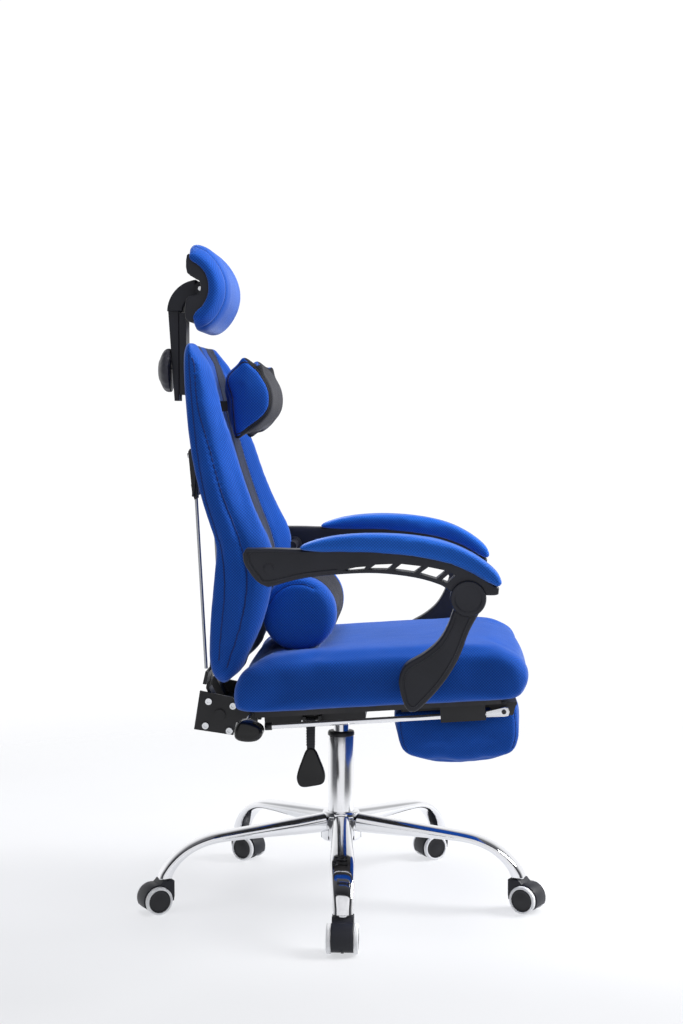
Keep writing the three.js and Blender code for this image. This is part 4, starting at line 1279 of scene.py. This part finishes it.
def dress_kept_nodes():
    """CAD nodes whose shape is right get their finish and fine edge rounding."""
    for name, finish in KEPT_NODES.items():
        piece = frame["nodes"][name]
        piece.data.materials.clear()
        piece.data.materials.append(finish)
        edge = piece.modifiers.new("Edges", "BEVEL")
        edge.width = EDGE_WIDTH * MM
        edge.segments = 2
        edge.limit_method = "ANGLE"
        edge.angle_limit = EDGE_ANGLE
        shade(piece)


# ------------------------------------------------------------------ studio
CAMERA_PLACE = (0.1516, -3.1151, 0.8898)
CAMERA_AIM = (-0.0498, 0.99714, -0.05677)
CAMERA_LENS = 60.46
FLOOR_RADIUS = 9.0
FLOOR_GLOW, FLOOR_NEAR_GLOW, FLOOR_BOUNCE = 0.69, 0.52, 0.9
NEAR_ZONE, BOUNCE_ZONE, FLOOR_FADE = (-0.62, -0.1), (-2.2, -0.65), (0.9, 2.6)
REFLECTOR_SPAN, REFLECTOR_HALF = ((-2.9, 0.0), (-1.1, 2.6)), 1.7
DIM_SIDE, WHITE_SIDE, CEILING = (0.07, 0.072, 0.08), (1.03, 1.035, 1.045), (0.14, 0.14, 0.15)
BEHIND_RAMP, CEILING_RAMP, BELOW_RAMP, BELOW = (0.35, 0.7), (0.3, 0.65), (-0.12, -0.02), (0.9, 0.905, 0.92)
LIGHTS = (  # name, place, aim, size, power and whether the chrome mirrors it
    ("key", (2.3, 0.3, 2.0), (0, 0, 0.6), 1.3, 95, True),
    ("top", (0.1, -0.1, 2.9), (0, 0, 0.5), 2.0, 60, False),
    ("fill", (0.9, -2.9, 1.9), (0, 0, 0.6), 1.4, 8, True),
)


def aimed(name, data, place, direction):
    """Puts a camera or a light in the scene, looking along a direction."""
    holder = bpy.data.objects.new(name, data)
    holder.location = place
    holder.rotation_mode = "QUATERNION"
    holder.rotation_quaternion = Vector(direction).to_track_quat("-Z", "Y")
    bpy.context.scene.collection.objects.link(holder)
    return holder


def staged_sheet(name, corners, finish):
    """A flat four-cornered sheet that belongs to the studio."""
    mesh = bpy.data.meshes.new(name)
    mesh.from_pydata(corners, [], [(0, 1, 2, 3)])
    mesh.materials.append(finish)
    sheet = bpy.data.objects.new(name, mesh)
    bpy.context.scene.collection.objects.link(sheet)
    return sheet


def camera():
    lens = bpy.data.cameras.new("camera")
    lens.sensor_fit = "VERTICAL"
    lens.sensor_height = lens.sensor_width = 36
    lens.lens = CAMERA_LENS
    bpy.context.scene.camera = aimed("camera", lens, CAMERA_PLACE, CAMERA_AIM)


def area_light(name, place, aim, size, power, mirrored_in_chrome):
    light = bpy.data.lights.new(name, "AREA")
    light.shape = "DISK"
    light.size = size
    light.energy = power
    holder = aimed(name, light, place, Vector(aim) - Vector(place))
    holder.visible_glossy = mirrored_in_chrome


def floor():
    """A pale studio floor that melts into the white surroundings."""
    finish, tree, shader = mottled("floor_looks", 2, (0.26, 0.262, 0.266), (0.28, 0.282, 0.286))
    tune(shader, Emission_Color=(0.96, 0.97, 1.0, 1), Roughness=0.6, Specular_IOR_Level=0.05)
    x, y, _ = place_of(tree)
    glow = map_of(tree, y, *NEAR_ZONE, FLOOR_NEAR_GLOW, FLOOR_GLOW)
    bounce = map_of(tree, y, *BOUNCE_ZONE, FLOOR_BOUNCE, 0.0)
    tree.links.new(math_of(tree, "MAXIMUM", glow, bounce), shader.inputs["Emission Strength"])
    depth = math_of(tree, "MAXIMUM", y, 0.0)
    reach = math_of(tree, "SQRT", math_of(tree, "ADD", math_of(tree, "MULTIPLY", x, x),
                                          math_of(tree, "MULTIPLY", depth, depth)))
    tree.links.new(map_of(tree, reach, *FLOOR_FADE, 1.0, 0.0), shader.inputs["Alpha"])
    r = FLOOR_RADIUS
    staged_sheet("studio_floor", [(-r, -r, 0), (r, -r, 0), (r, r, 0), (-r, r, 0)], finish)


def reflector():
    """A white sheet over the camera that only mirrored rays can see, for the chrome's highlights."""
    finish, tree, shader = new_material("reflector_looks")
    glow = ramp_of(tree, noise_of(tree, 1.5), (0.8, 0.8, 0.82), (0.95, 0.95, 0.97), 0.3, 0.7)
    tree.links.new(glow, shader.inputs["Emission Color"])
    tune(shader, Emission_Strength=0.9, Base_Color=(0, 0, 0, 1))
    (near, low), (far, high) = REFLECTOR_SPAN
    half = REFLECTOR_HALF
    corners = [(-half, near, low), (half, near, low), (half, far, high), (-half, far, high)]
    sheet = staged_sheet("reflector", corners, finish)
    sheet.visible_camera = sheet.visible_diffuse = sheet.visible_shadow = False


def surroundings():
    """A white room, brightest behind the chair, darker overhead and dimmer on the camera's side."""
    world = bpy.data.worlds.new("studio")
    bpy.context.scene.world = world
    world.use_nodes = True
    tree = world.node_tree
    direction = tree.nodes.new("ShaderNodeTexCoord")
    parts = tree.nodes.new("ShaderNodeSeparateXYZ")
    tree.links.new(direction.outputs["Generated"], parts.inputs[0])
    _, y, z = parts.outputs
    behind = ramp_of(tree, math_of(tree, "MULTIPLY_ADD", y, 0.5, 0.5), DIM_SIDE, WHITE_SIDE, *BEHIND_RAMP)
    ceiling = ramp_of(tree, z, (1, 1, 1), CEILING, *CEILING_RAMP)
    room = mix_of(tree, 1.0, behind, ceiling, "MULTIPLY")
    below = map_of(tree, z, *BELOW_RAMP, 1.0, 0.0)
    lower = ramp_of(tree, below, (0, 0, 0), BELOW)
    light = mix_of(tree, 1.0, room, lower, "LIGHTEN")
    backdrop = tree.nodes.new("ShaderNodeRGB")
    backdrop.outputs[0].default_value = (*WHITE_SIDE, 1)
    seen_directly = tree.nodes.new("ShaderNodeLightPath").outputs["Is Camera Ray"]
    shown = mix_of(tree, seen_directly, light, backdrop.outputs[0])
    tree.links.new(shown, tree.nodes["Background"].inputs["Color"])
    tree.nodes["Background"].inputs["Strength"].default_value = 1.0


def studio():
    camera()
    floor()
    reflector()
    surroundings()
    for light in LIGHTS:
        area_light(*light)
    bpy.context.scene.view_settings.view_transform = "Standard"


# ------------------------------------------------------------------ the chair
def build():
    dress_kept_nodes()
    rolling_base()
    footrest_rails()
    head_shell()
    head_post()
    height_knob()
    arm_frames()
    arm_legs()
    bracket_bolts()
    levers()
    rear_rods()
    strap_loop()
    for make in (seat_pad, foot_pad, back_pad, neck_pad, lumbar_pad, head_pad, arm_pads):
        make()


studio()
build()
